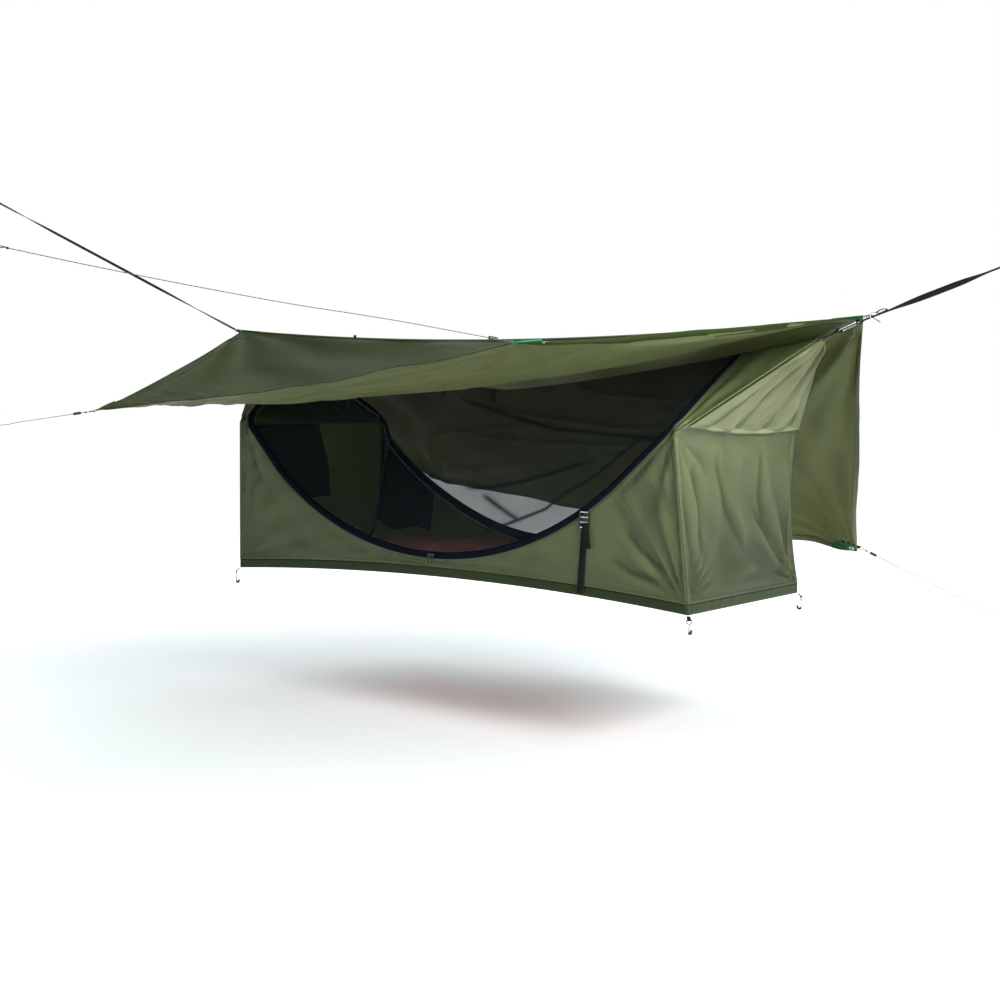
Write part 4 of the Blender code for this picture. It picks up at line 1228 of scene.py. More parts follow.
rear_tarp_lines = [
    [(-0.469, 0.436), (-0.285, 0.462), (-0.150, 0.489), (0.165, 0.518), (0.513, 0.522)],
    [(-0.948, 0.564), (-0.794, 0.628), (-0.545, 0.653), (-0.180, 0.642), (0.102, 0.620), (0.391, 0.586)],
    [(-1.223, 0.752), (-0.987, 0.716), (-0.706, 0.628), (-0.381, 0.552), (-0.198, 0.515)],
    [(-1.051, 0.766), (-0.970, 0.852), (-0.885, 0.888), (-0.804, 0.875), (-0.573, 0.801), (-0.461, 0.777)],
    [(-0.860, 1.010), (-0.599, 0.921), (-0.295, 0.815), (-0.059, 0.719)],
    [(-0.859, 0.875), (-0.787, 0.923), (-0.731, 0.982)],
    [(0.068, 0.251), (0.202, 0.319), (0.450, 0.348), (0.609, 0.349)],
    [(0.700, 0.140), (0.790, 0.480), (0.840, 0.820)],
]
front_net_lines = [
    [(0.108, 0.200), (0.237, 0.239), (0.396, 0.299), (0.457, 0.352), (0.571, 0.409), (0.679, 0.492),
     (0.833, 0.593)],
    [(0.053, 0.337), (0.143, 0.302), (0.233, 0.271), (0.312, 0.248)],
    [(-0.047, 0.347), (0.087, 0.354), (0.235, 0.381), (0.411, 0.431), (0.576, 0.475)],
]
rear_net_lines = [
    [(-0.300, 0.680), (0.150, 0.560), (0.700, 0.520)],
]


# Folds that run out of held points: the point, blades, depth, near, far and seed
end_fans = (
    ((0.375, 0.045), 12, 0.0100, 0.06, 0.55, 0),
    ((-0.400, 0.560), 12, 0.0070, 0.10, 0.60, 1),
    ((0.372, 0.050), 30, 0.0062, 0.02, 0.17, 5),
    ((-0.370, 0.050), 26, 0.0040, 0.03, 0.22, 7),
)
front_tarp_fans = (
    ((-half_ridge, 0.0), 13, 0.0070, 0.12, 1.25, 0.4),
    ((half_ridge, 0.0), 17, 0.0060, 0.30, 1.45, 1.9),
    (front_left, 13, 0.0050, 0.08, 1.10, 2.4),
    (front_right, 13, 0.0034, 0.08, 1.10, 3.1),
)
rear_tarp_fans = (
    ((half_ridge, 0.0), 15, 0.0160, 0.15, 1.90, 0.9),
    ((half_ridge, 0.0), 38, 0.0044, 0.10, 1.50, 2.9),
    ((-half_ridge, 0.0), 12, 0.0090, 0.15, 1.25, 2.9),
    (rear_right, 21, 0.0085, 0.07, 1.10, 1.2),
    (rear_left, 12, 0.0090, 0.07, 0.80, 4.2),
)


def fans(spot, rows, seed=0):
    """Several fans together; the seed is added to each row's own."""
    total = 0.0
    for held, blades, depth, near, far, own_seed in rows:
        total += fan(spot, held, blades, depth, near, far, seed + own_seed)
    return total


def zip_puckers(across, up, seed):
    """Short folds where the wall is sewn to the stiffer tape, and again at the floor seam."""
    wave = math.sin(TURN * 84 * across + 3 * noise.noise(Vector((across * 31, seed, 0))))
    at_zip = (1 - up) * 9
    at_floor = up * 11
    strength = at_zip * math.exp(1 - at_zip) * 0.0011 + at_floor * math.exp(1 - at_floor) * 0.0009
    return wave * strength


def wall_relief(lines, seed):
    def relief(point, across, up):
        spot = (point.x, point.z)
        height = swell(spot, 0.34, 0.0080, seed) + swell(spot, 0.085, 0.0016, seed + 3)
        for end, pull in ((-1, 0.35), (1, 1.0)):
            low, high = (end * 0.985, 0.045), (end * 0.950, 0.560)
            height += fan(spot, low, 17, 0.0046 * pull, 0.10, 0.62, seed + end)
            height += fan(spot, low, 43, 0.0018 * pull, 0.05, 0.34, seed + 2 * end)
            height += fan(spot, high, 13, 0.0034 * pull, 0.08, 0.50, seed - end)
        height += creases(spot, lines, 0.013, 0.0050)
        height += zip_puckers(across, up, seed)
        return height * strap_calm(point.x) * fade(up, 0.09)
    return relief


def end_relief(lines, seed):
    def relief(point, across, up):
        spot = (point.y, point.z)
        height = swell(spot, 0.26, 0.0200, seed) + swell(spot, 0.070, 0.0024, seed + 2)
        drift = 0.9 * noise.noise(Vector((point.y * 2.1, point.z * 2.6, seed)))
        height += 0.0050 * math.sin(TURN * (4.4 * point.y + drift)) * smooth(point.z / 0.25)
        height += fans(spot, end_fans, seed) + creases(spot, lines, 0.018, 0.0090)
        under_gable = 1 - smooth((point.z - 0.500) / 0.060)
        return height * under_gable * fade(across, 0.05) * fade(up, 0.04)
    return relief


def gable_relief(seed):
    def relief(point, across, up):
        spot = (point.y, point.z)
        folds = fan(spot, (0.0, 0.895), 13, 0.0105, 0.06, 0.95, seed)
        folds += fan(spot, (0.0, 0.895), 33, 0.0030, 0.04, 0.50, seed + 2)
        folds += swell(spot, 0.15, 0.0170, seed) + swell(spot, 0.05, 0.0048, seed + 4)
        return 0.0110 + folds * fade(across, 0.08) * fade(up * 0.5, 0.03)
    return relief


def front_tarp_relief(point, across, up):
    spot = (point.x, point.y)
    broad = noise.noise(Vector((across * 3.1, up * 5, 2.0)))
    fine = noise.noise(Vector((across * 4.3, up * 9, 7.0)))
    streak = math.sin(TURN * (9.5 * up + 0.8 * broad)) + 0.6 * math.sin(TURN * (23 * up + 1.1 * fine))
    band = smooth((up - 0.50) / 0.25) * fade(across, 0.06)
    height = 0.0036 * streak * band + swell(spot, 0.34, 0.0110, 5.2) + swell(spot, 0.10, 0.0024, 9.0)
    height += fans(spot, front_tarp_fans)
    calm = 0.30 + 0.70 * smooth((point.x + 1.5) / 1.0)
    return height * calm * smooth(up / (0.05 + 0.40 * smooth((point.x + 0.2) / 0.8)))


def rear_tarp_relief(point, across, up):
    spot = (point.x, point.y)
    height = swell(spot, 0.30, 0.0180, 2.2) + swell(spot, 0.09, 0.0034, 8.0)
    height += fans(spot, rear_tarp_fans) + creases(spot, rear_tarp_lines, 0.016, 0.0080)
    return height * fade(up * 0.5, 0.02)


def gable_place(end):
    """The flap from the peak down over the spreader bar, with its hem hanging free."""
    def place(across, up):
        side = 2 * across - 1
        fold_corner = side_point(1.0, -1)
        width = abs(fold_corner.y) - 0.003
        hem = 0.568 + 0.020 * abs(side - 0.25) ** 1.6
        low = Vector((fold_corner.x + 0.003, side * width, hem))
        tip = peak(1)
        shoulder = Vector((fold_corner.x, side * width, spreader_height + 0.004))
        top = Vector((tip.x, side * (strap_width / 2 + 0.003), tip.z))
        share = (hem - shoulder.z) / (top.z - shoulder.z)
        start = shoulder.lerp(top, max(0.0, share))
        start.x = max(start.x, low.x)
        point = start.lerp(top, up)
        point.x *= end
        return point
    return place


def tub_outline(turn):
    """Round the floor in four runs: front, right, rear, left; with its way out of the floor."""
    run = min(3, int(turn))
    part = turn - run
    if run in (0, 2):
        side = -1 if run == 0 else 1
        return (2 * part - 1) * -side, side, None
    end = 1 if run == 1 else -1
    return end, None, (2 * part - 1) * end


def tub_place(across, up):
    """The turned-up rim for the first rows, then a small bend, then the floor to its middle line."""
    share, side, depth = tub_outline(4 * across)
    rim = 0.16
    if up < rim:
        height = tub_height * (1 - up / rim)
        inwards = 0.0
    else:
        height = 0.0
        inwards = (up - rim) / (1 - rim)
    if side is None:
        edge = floor_edge(share, 1, height)
        return Vector((edge.x * (1 - 0.35 * inwards), edge.y * depth * (1 - inwards), height
                       + floor_bow * (1 - (1 - 0.35 * inwards) ** 2)))
    edge = floor_edge(share, side, height)
    x = edge.x * (1 - 0.35 * inwards)
    return Vector((x, edge.y * (1 - inwards), height + floor_bow * (1 - (x / half_floor) ** 2)))


def wall_painted_shade(spot):
    """Painted shade: the long walls darken towards the floor, and the front wall also towards the left."""
    return 0.22 * (1 - smooth(spot.z / 0.22)) + 0.10 * (1 - smooth((spot.x + 0.9) / 1.5)) * (spot.y < 0)


def end_painted_shading(spot):
    """Painted shade and painted highlight: the ends darken towards the floor and the rear, and are painted
    lighter high up at the front.
    """
    return 1.00 * smooth((0.56 - spot.z) / 0.48) + 0.30 * smooth((spot.y + 0.28) / 0.50) - 0.16


def build_walls():
    for name, side, lines in (("front", -1, front_wall_lines), ("rear", 1, [])):
        cloth = Cloth(functools.partial(wall_point, side=side), BODY_MIDDLE, wall_relief(lines, 1.7 + side))
        made = lay(
            name + "_wall_cloth", cloth.spot, (340, 36), wall_outside, BODY, (name + "_wall",),
            inner=wall_inside, wear_and_fold_shade=True,
            # Painted shade along the listed crease lines and towards the floor.
            fold=lambda spot, lines=lines: 0.5 * fold_shading((spot.x, spot.z), lines, 0.006) + wall_painted_shade(spot),
        )
        for key, width, start, stop, count in (
            ("floor", 0.010, 1 / 3, 2 / 3, 200), ("left_corner", 0.009, 0.0, 1 / 3, 90),
            ("right_corner", 0.009, 2 / 3, 1.0, 90),
        ):
            strip = cloth.band("low", width, seam_lift, start, stop)
            lay(f"{name}_{key}_seam", strip, (count, 3), wall_hem, BODY,
                             thickness=seam_ply, fold=wall_painted_shade)
        declare_cloth(cloth.place, strip=True)


def build_ends():
    for name, end, lines in (("left", -1, left_end_lines), ("right", 1, right_end_lines)):
        cloth = Cloth(functools.partial(end_point, end=end), BODY_MIDDLE, end_relief(lines, 2.6 * end))
        made = lay(
            "end_wall_cloth_" + name, cloth.spot, (90, 90), wall_outside, BODY, ("end_wall_" + name,),
            inner=wall_inside, cut=(1, 2), wear_and_fold_shade=True,
            # Painted shade along the listed crease lines, towards the floor and towards the rear.
            fold=lambda spot, lines=lines: 0.35 * fold_shading((spot.y, spot.z), lines, 0.007) + end_painted_shading(spot),
        )
        for edge, side in (("left", "front"), ("right", "rear")):
            strip = cloth.band(edge, end_seam_width, band_lift, 0.0, 8 / 14)
            lay(f"{name}_{side}_seam_band", strip, (50, 4), wall_hem, BODY,
                             thickness=end_seam_ply, cut=(1, 2), fold=end_painted_shading)
        lay(
            f"{name}_end_floor_seam", cloth.band("low", 0.010, band_lift), (60, 3), wall_hem,
            BODY, thickness=seam_ply, cut=(1, 2), fold=end_painted_shading,
        )
        declare_cloth(cloth.place)
        flap = Cloth(gable_place(end), BODY_MIDDLE, gable_relief(1.1 * end))
        gable = lay(
            "gable_" + name, flap.spot, (90, 60), wall_gable, BODY, ("bar_cover_" + name,),
            inner=wall_inside, cut=(1, 2), wear_and_fold_shade=True,
            # Painted shade on the flap's upper part, towards the peak.
            fold=lambda spot: 0.55 * smooth((spot.z - 0.64) / 0.16),
        )
        hem = lay(
            "gable_hem_" + name, flap.band("low", gable_hem_width, 0.0), (90, 3), gable_hem,
            BODY, thickness=gable_hem_ply, cut=(1, 2),
        )
        declare_cloth(flap.place)


def tub_relief(point, across, up):
    """The rim's cloth gathers where it is sewn to the walls and turned under the floor."""
    run = point.x + point.y
    wave = math.sin(TURN * run / 0.062 + 6 * noise.noise(Vector((run * 7.0, 0.3, 0))))
    wave += 0.8 * math.sin(TURN * run / 0.023 + 5 * noise.noise(Vector((run * 11.0, 1.3, 0))))
    return -0.0016 + 0.0005 * wave * math.exp(-((up - 0.07) / 0.06) ** 2) * fade(4 * across % 1, 0.03)


def build_floor():
    middle = Vector((0, 0, 0.15))
    cloth = Cloth(tub_place, middle, tub_relief)
    made = lay("floor_tub_cloth", cloth.spot, (520, 36), floor_outside, BODY, ("floor_tub",),
               thickness=tub_cloth, cut=(0, 1), middle=middle, wear_and_fold_shade=True)
    declare_cloth(tub_place)


def build_doors():
    for name, side, net, lines in (
        ("front", -1, front_net_look, front_net_lines), ("rear", 1, rear_net_look, rear_net_lines),
    ):
        place = functools.partial(net_point, side=side)
        made = lay(
            name + "_net_mesh", place, (330, 120), net, BODY, (name + "_net",), thickness=0.0,
            fold=lambda spot, lines=lines: fold_shading((spot.x, spot.z), lines, 0.0065),
        )
        across = functools.partial(tape_point, side=side)
        tape = lay(name + "_zip_ribbon", across, (340, 6), zip_tape_look, BODY,
                   (name + "_zip_tape",), thickness=0.0016)
        line = [door(6 * k / 1400, side) + side * ACROSS * 0.0013 for k in range(1401)]
        coil = sweep(name + "_zip_coil", line, round_section(coil_radius, 6), coil_look, BODY,
                     swelling=lambda index: 1.0 if index % 2 else 0.72)
        piping = [wall_side(6 * k / 330, side, tape_width / 2) + side * ACROSS * 0.0015 for k in range(331)]
        cord = sweep(name + "_piping", piping, round_section(piping_radius, 8), piping_look, BODY)
        extra = [tape, coil, cord]
        if side > 0:
            extra += build_inner_binding()
        declare_cloth(place)


def build_inner_binding():
    """The rear zip's inside, which the front door shows: a binding and its pale piping."""
    def band(along, share):
        station = 0.3 + 5.4 * along
        if share < 0.5:
            spot = wall_side(station, 1, tape_width / 2 + 0.006).lerp(door(station, 1), 2 * share)
        else:
            spot = door(station, 1).lerp(net_side(station, 1, tape_width / 2 + 0.014), 2 * share - 1)
        return spot - ACROSS * 0.0070

    stations = [0.3 + 5.4 * k / 330 for k in range(331)]
    line = [wall_side(station, 1, tape_width / 2 + 0.0050) - ACROSS * 0.0095 for station in stations]
    return [
        lay("rear_inner_binding", band, (300, 8), zip_tape_look, BODY, thickness=seam_ply),
        sweep("rear_inner_piping", line, round_section(inner_piping_radius, 8), rear_piping_look, BODY),
    ]


def build_tarp_halves():
    for name, side, relief in (("front", -1, front_tarp_relief), ("rear", 1, rear_tarp_relief)):
        cloth = Cloth(functools.partial(tarp_point, side=side), TARP_MIDDLE, relief)
        lines = rear_tarp_lines if side > 0 else []
        made = lay(
            "tarp_cloth_" + name, cloth.spot, (230, 110), tarp_top, TARP, ("tarp_" + name,),
            inner=tarp_under, cut=(0, 1), middle=TARP_MIDDLE, wear_and_fold_shade=True,
            # Painted shade along the listed crease lines of the rear half, and a painted highlight on its
            # right part.
            fold=lambda spot, lines=lines: 0.8 * fold_shading((spot.x, spot.y), lines, 0.010)
            - 0.8 * smooth((spot.y - 0.20) / 0.80) * smooth((spot.x - 0.5) / 0.5),
        )
        trims = []
        for edge, count in (("left", 110), ("right", 110), ("high", 230)):
            trims.append(lay(
                f"tarp_{name}_hem_{edge}", cloth.band(edge, hem_width, 0.0), (count, 4), tarp_hem_top,
                TARP, thickness=hem_thickness, inner=tarp_hem, cut=(0, 1),
                middle=TARP_MIDDLE,
            ))
        for across in (0.0, 1.0):
            trims.append(lay(
                f"tarp_{name}_ridge_patch_{int(across)}", corner_triangle(cloth, across),
                (10, 10), tarp_hem_top, TARP, thickness=hem_thickness - 0.0004,
                inner=tarp_hem, cut=(0, 1), middle=TARP_MIDDLE,
            ))
            if side > 0:
                trims += build_corner_patch(cloth, name, across)
        if side < 0:
            run = corner_strip_length / cloth.tall(1)
            strip = cloth.band("right", corner_strip_width, 0.0022, 1 - run, 1.0)
            trims.append(lay("front_corner_strap", strip, (30, 4), green_web, TARP,
                             thickness=0.0028, cut=(0, 1), middle=TARP_MIDDLE))
        declare_cloth(cloth.place)
    for name, lift in (("ridge_seam", 0.0016), ("ridge_binding", -0.0014)):
        def across_ridge(along, across, lift=lift):
            side = -1 if across < 0.5 else 1
            return tarp_point(along, abs(2 * across - 1) * 0.012, side) + UP * lift
        lay(name, across_ridge, (120, 6), tarp_hem_top if lift > 0 else tarp_hem, TARP,
            thickness=0.0010, cut=(0, 1), middle=TARP_MIDDLE)


def corner_triangle(cloth, across):
    """A three-cornered reinforcement of a half of the tarp at one end of the ridge."""
    def place(inward, share):
        aside = inward * ridge_patch_reach / cloth.wide(0)
        rise = share * (1 - inward) * ridge_patch_reach / cloth.tall(across)
        return cloth.spot(abs(across - aside), rise)
    return place


def build_corner_patch(cloth, name, across):
    """A half-round patch in an outer corner, with a pale grommet in the rear right one."""
    wide, tall = cloth.wide(1), cloth.tall(across)

    def place(turn, out):
        angle = math.pi * turn
        aside = max(0.0, patch_inset + patch_radius * out * math.cos(angle)) / wide
        return cloth.spot(abs(across - aside), 1 - patch_radius * out * math.sin(angle) / tall)

    key = f"{name}_{int(across)}"
    patch = lay("corner_patch_" + key, place, (70, 24), patch_look, TARP,
                thickness=patch_ply, cut=(0, 1), middle=TARP_MIDDLE)
    if key != "rear_1":
        return [patch]
    at = cloth.spot(1 - grommet_inset / wide, 1 - grommet_inset / tall)
    facing = cloth.normal(0.98, 0.98)
    ring = frame_along(at, facing.orthogonal(), facing)
    return [patch, grommet("grommet", ring, grommet_look, TARP)]


def build_pad():
    low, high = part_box("sleeping_pad")
    length, width = high.x - low.x, high.y - low.y

    def edge(u, v):
        """A point of the pad's plan, and the heights of its foot and of its seam there."""
        x = u * length / 2
        narrow = 1 - pad_corner_cut * max(0.0, abs(u) - pad_corner_start) / (1 - pad_corner_start)
        base = floor_bow * (1 - (x / half_floor) ** 2) + tub_cloth / 2 + touch_gap
        return x, v * narrow * width / 2, base, base + pad_thickness * 0.45

    def place(across, along, upper):
        u = -math.cos(math.pi * across)
        v = -math.cos(math.pi * along)
        x, y, base, middle = edge(u, v)
        full = max(0.0, (1 - u ** 8) * (1 - v ** 8)) ** 0.4
        if not upper:
            return Vector((x, y, middle + (base - middle) * min(1.0, full * 1.6)))
        groove = math.cos(math.pi * (v + 1) * pad_channels) * 0.5 - 0.5
        aside = math.fmod(abs(x) + pad_tuft_pitch / 2, pad_tuft_pitch) - pad_tuft_pitch / 2
        tuft = -pad_tuft_depth * math.exp(-(aside / 0.012) ** 2)
        soft = swell((x, y), 0.10, pad_tuft_depth, 3.3) - pad_tuft_depth
        crown = full * (pad_thickness * 0.55 + groove * 0.0065 * full + (tuft + soft) * full)
        return Vector((x, y, middle + crown))

    shape = bmesh.new()
    cut_layer = shape.verts.layers.float_vector.new("cut")
    columns, rows = 150, 90
    for upper in (True, False):
        grid = []
        for column in range(columns + 1):
            line = []
            for row in range(rows + 1):
                spot = place(column / columns, row / rows, upper)
                vertex = shape.verts.new(lowered(spot))
                vertex[cut_layer] = (spot.x, spot.y, 0.0)
                line.append(vertex)
            grid.append(line)
        for left, right in zip(grid, grid[1:]):
            for row in range(rows):
                shape.faces.new((left[row], right[row], right[row + 1], left[row + 1]))
    bmesh.ops.remove_doubles(shape, verts=shape.verts, dist=touch_gap / 4)
    bmesh.ops.recalc_face_normals(shape, faces=shape.faces)
    pad = dress(made_from(shape, "sleeping_pad_cover"), pad_cover, BODY, ("sleeping_pad",))
    outline = []
    for step in range(240):
        turn = TURN * step / 240
        u = max(-1.0, min(1.0, 1.25 * math.cos(turn)))
        v = max(-1.0, min(1.0, 1.25 * math.sin(turn)))
        x, y, base, middle = edge(u, v)
        outline.append(Vector((x, y, middle)))
    sweep("pad_piping", outline, round_section(pad_piping_radius, 8), pad_cover, BODY, closed=True)


def build_pockets():
    end_cloth = Cloth(functools.partial(end_point, end=-1), BODY_MIDDLE, end_relief(left_end_lines, -2.6))
    rear_cloth = Cloth(functools.partial(wall_point, side=1), BODY_MIDDLE, wall_relief([], 2.7))

    def fullness(across, up):
        return -0.0034 - 0.006 * math.sin(math.pi * across) * math.sin(math.pi * up)

    def on_end(across, up):
        aside = (0.8 + (6.6 - 1.2 * up) * across) / 12
        return end_cloth.spot(aside, (3.4 + 4.5 * up) / 14, fullness(across, up))

    def on_rear(across, up):
        foot = 0.25 * math.sin(9 * across) * (1 - up)
        aside = (15.0 + 3.7 * across) / 48
        return rear_cloth.spot(aside, (1.2 + foot + 3.6 * up) / 5, fullness(across, up))

    spots = (("pocket_end", on_end, (1, 2)), ("pocket_rear", on_rear, (0, 2)))
    for name, place, cut in spots:
        made = lay(name + "_mesh", place, (40, 30), pocket_look, BODY, (name,), thickness=0.0,
                   cut=cut)
        top = [place(k / 30, 1.0) for k in range(31)]
        trim = sweep(name + "_binding", top, flat_section(0.010, 0.0014), zip_tape_look, BODY,
                     across=UP)
        declare_cloth(place)


def keep(node, look):
    """A frame node whose shape is right gets its finish here."""
    for place in bpy.data.objects[node].material_slots:
        place.material = look.material


def middle_of(node):
    """The middle of a frame node's box, counted from the floor, and the box's size."""
    low, high = (Vector(corner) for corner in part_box(node))
    return (low + high) / 2 + Vector((0, 0, hang_height)), high - low


def strap_lines():
    """The two straps to the trees: name, end, eye, way and the length between the loop ends."""
    ends = (
        ("left", -1, left_strap_slope, left_strap_distance),
        ("right", 1, right_strap_slope, right_strap_distance),
    )
    for name, end, slope, reach in ends:
        along = Vector((end * math.cos(slope), 0, math.sin(slope)))
        hang_point = Vector((end * hang_reach, 0, hang_height))
        eye = hang_point + along * eye_slack
        run = (reach - abs(eye.x)) / math.cos(slope) - tree_loop_length - 0.012
        yield name, end, along, eye, run


def build_tree_straps():
    """Each strap is one ribbon, doubled: a small eye at the clip and a long loop for the tree."""
    for name, end, along, eye, run in strap_lines():
        lie = strap_ply / 2 + touch_gap / 4
        round_eye = eye_radius + strap_ply / 2
        wide = tree_loop_radius + strap_ply / 2
        tip = run + tree_loop_length
        steps = int(run / strap_step)
        first, last = 2.6 * round_eye, run - strap_sewn_length
        ply = [first + (last - first) * step / steps for step in range(steps + 1)]
        line = [Vector((x, -lie, 0)) for x in ply]
        line += arc((tip, 0), wide, math.radians(-90), math.radians(90), 14)
        line += [Vector((x, lie, 0)) for x in reversed(ply)]
        line += arc((0, 0), round_eye, math.radians(65), math.radians(295), 16)
        place = frame_along(eye, along, ACROSS)
        path = []
        across = []
        for point in line:
            turn = smooth((point.x - 0.09) / (run * 0.30)) * smooth((run - 0.06 - point.x) / (run * 0.25))
            twist = Matrix.Rotation(turn * end * strap_turn, 4, "X")
            path.append(place @ (twist @ point))
            across.append((place @ twist).to_3x3() @ UP)
        strap = sweep("tree_strap_web_" + name, path, flat_section(strap_width, strap_ply), black_web,
                      TARP, ("tree_strap_" + name,), across=across, closed=True)
        for key, x, size in (("near", 0.030, 0.014), ("mid", 0.062, 0.010), ("far", run - 0.045, 0.016)):
            at = frame_along(place @ Vector((x, -lie - strap_ply * 0.55, 0)), -along, ACROSS)
            bar_tack(f"strap_tack_{name}_{key}", at, strap_width * 0.8, size, 0.0004,
                                  dark_thread, TARP, passes=9)


def corner_fitting(side, end, guy_end):
    """Where a tarp corner's loop has its eye, the way out of it, and its two other directions."""
    corner, out, normal = tarp_corner(side, end)
    if guy_end is not None:
        pull = (guy_end - corner).normalized()
        pull -= normal * pull.dot(normal)
        out = (out * corner_lead_share + pull).normalized()
    lift = tarp_cloth / 2 + strap_ply / 2 + touch_gap * 1.5
    eye = corner + out * (corner_eye + strap_ply + touch_gap) + normal * lift
    return eye, out, out.cross(normal)


def build_tarp_corners():
    corners = (
        ("front_left", -1, -1, tab_web, front_left_guy_end),
        ("front_right", -1, 1, green_web, front_right_guy_end),
        ("rear_right", 1, 1, tab_web, rear_right_guy_end),
        ("rear_left", 1, -1, tab_web, None),
    )
    for name, side, end, look, guy_end in corners:
        eye, out, across = corner_fitting(side, end, guy_end)
        place = frame_along(eye, -out, across)
        folded("corner_web_" + name, corner_webbing_length, corner_eye, strap_ply / 2,
               corner_webbing_width, place, look, TARP, ("corner_loop_" + name,))
        for face in (-1, 1):
            spot = place @ Vector((corner_webbing_length * 0.62, face * strap_ply * 0.62, 0))
            bar_tack(f"corner_tack_{name}_{'under' if face < 0 else 'over'}",
                     frame_along(spot, out, across), corner_webbing_width * 0.7, 0.012, 0.0003,
                     dark_thread, TARP, passes=8)
        if guy_end is None:
            continue
        along = (guy_end - eye).normalized()
        start = eye + along * (corner_eye - guy_radius - touch_gap)
        route = guy_path(start, guy_end, across)
        path = curve_through(route, 7)
        line = sweep("guyline_cord_" + name, path, round_section(guy_radius, 8), guy_look,
                     TARP, ("guyline_" + name,))
        near = start + along * guy_loop_length * 1.5
        far = start + along * ((guy_end - start).length - end_loop_length)
        knots = [
            wrap(f"{key}_knot_{name}", at, along, guy_radius * 2.0, guy_radius * 0.9, 3, guy_look, TARP)
            for key, at in (("near", near), ("far", far))
        ]
        knots.append(bpy.data.objects["lock_" + name])
        keep("lock_" + name, plastic_look)
        path_length(path)


def build_tarp_ends():
    """The ring round each tree strap, the green tab on it, and the small fittings beside it."""
    for name, end, slope in (("left", -1, left_strap_slope), ("right", 1, right_strap_slope)):
        along = Vector((end * math.cos(slope), 0, math.sin(slope)))
        up = Vector((-end * math.sin(slope), 0, math.cos(slope)))
        ridge_end = tarp_point(0.0 if end < 0 else 1.0, 0.0, -1)
        run = (end * ridge_end.x - hang_reach + tarp_ring_distance) / math.cos(slope)
        on_strap = Vector((end * hang_reach, 0, hang_height)) + along * run
        eye = tarp_ring_wire + touch_gap
        high = strap_ply + tarp_ring_clearance + eye + strap_ply / 2
        build_tarp_ring(name, frame_along(on_strap, along, -end * ACROSS), high)
        lap_share = tarp_tab_lap / ridge_span
        lap_end = tarp_point(lap_share if end < 0 else 1 - lap_share, 0.0, -1)
        lift = Vector((0, 0, tarp_cloth / 2 + touch_gap * 2 + strap_ply / 2))
        eye_place = on_strap + up * high
        knee = ridge_end + lift
        knee.y = 0.0
        tail = lap_end + lift
        tail.y = 0.0
        place = frame_along(eye_place, knee - eye_place, ACROSS)
        bend_at = place.inverted() @ knee
        stop = place.inverted() @ tail
        lie = strap_ply * 0.26
        side = [bend_at.lerp(stop, share) for share in (1.0, 0.7, 0.35, 0.08)]
        side += [Vector((bend_at.x * share, 0, 0)) for share in (0.92, 0.6)]
        path = [p + Vector((0, -lie, 0)) for p in side]
        path += arc((0, 0), eye + strap_ply * 0.25, math.radians(-60), math.radians(-300), 10)
        path += [p + Vector((0, lie, 0)) for p in reversed(side)]
        sweep("ridge_tab_web_" + name, [place @ p for p in path],
              flat_section(strap_width * 0.9, strap_ply * 0.5), green_web, TARP,
              ("ridge_tab_" + name,), across=ACROSS)
        under = [eye_place.lerp(knee, 0.35) - UP * 0.0022, knee - UP * 0.0052]
        under += [knee + Vector((-end * run, 0, -0.0062 - 0.12 * run)) for run in (0.015, 0.035, 0.055)]
        sweep("ridge_tab_under_" + name, curve_through(under, 5), flat_section(strap_width, 0.0009),
              green_web, TARP, across=ACROSS)
        tack = frame_along(tail + Vector((end * 0.030, 0, strap_ply * 0.62)), (end, 0, 0), ACROSS)
        bar_tack("ridge_tack_" + name, tack, strap_width * 0.6, 0.020, 0.0004, dark_thread,
                 TARP, passes=8)
        if end > 0:
            build_right_end_extras(on_strap, along, up)


def build_tarp_ring(name, place, high):
    """A flat ring round the strap: high above its middle for the tab, and close below it."""
    low = strap_ply + touch_gap + tarp_ring_wire
    half = strap_width / 2 + tarp_ring_clearance + tarp_ring_wire
    bend = tarp_ring_wire * 1.5
    outline = (
        (0, half), (-low + bend, half), (-low, half - bend), (-low, 0), (-low, -half + bend),
        (-low + bend, -half), (0, -half), (high - bend, -half), (high, -half + bend), (high, 0),
        (high, half - bend), (high - bend, half),
    )
    ring = curve_through([Vector((0, y, z)) for y, z in outline], 4, closed=True)
    sweep("ring_wire_" + name, [place @ p for p in ring], round_section(tarp_ring_wire, 10), steel_look,
          TARP, ("tarp_ring_" + name,), closed=True)


def build_right_end_extras(on_strap, along, up):
    """A small wire hook over the ring, a short loop of strap beyond it and a loose end."""
    place = frame_along(on_strap, along, ACROSS)
    way = -1 if (place.to_3x3() @ ACROSS).dot(up) < 0 else 1
    bends = (
        (-0.014, 0.0095, 0), (-0.008, 0.0125, 0.002), (0.002, 0.0130, 0.003),
        (0.012, 0.0105, 0.003), (0.019, 0.0070, 0.001), (0.022, 0.0045, -0.001),
    )
    wire = curve_through([Vector((x, way * y, z)) for x, y, z in bends], 5)
    sweep("end_hook_wire", [place @ p for p in wire], round_section(0.0011, 8), steel_look, TARP)
    loop = []
    for step in range(20):
        turn = TURN * step / 20
        rise = way * (0.0070 + 0.0042 * math.sin(turn))
        loop.append(place @ Vector((0.036 + 0.018 * math.cos(turn), rise, 0)))
    sweep("end_strap_loop", loop, flat_section(0.012, 0.0010), tab_web, TARP,
          across=ACROSS, closed=True)
    start = on_strap - up * 0.0045 + along * 0.004
    loose = [start, start + Vector((0.012, -0.002, -0.006)), start + Vector((0.024, -0.004, -0.014))]
    sweep("end_strap_tail", curve_through(loose, 6), flat_section(0.010, 0.0010), tab_web,
          TARP, across=ACROSS)


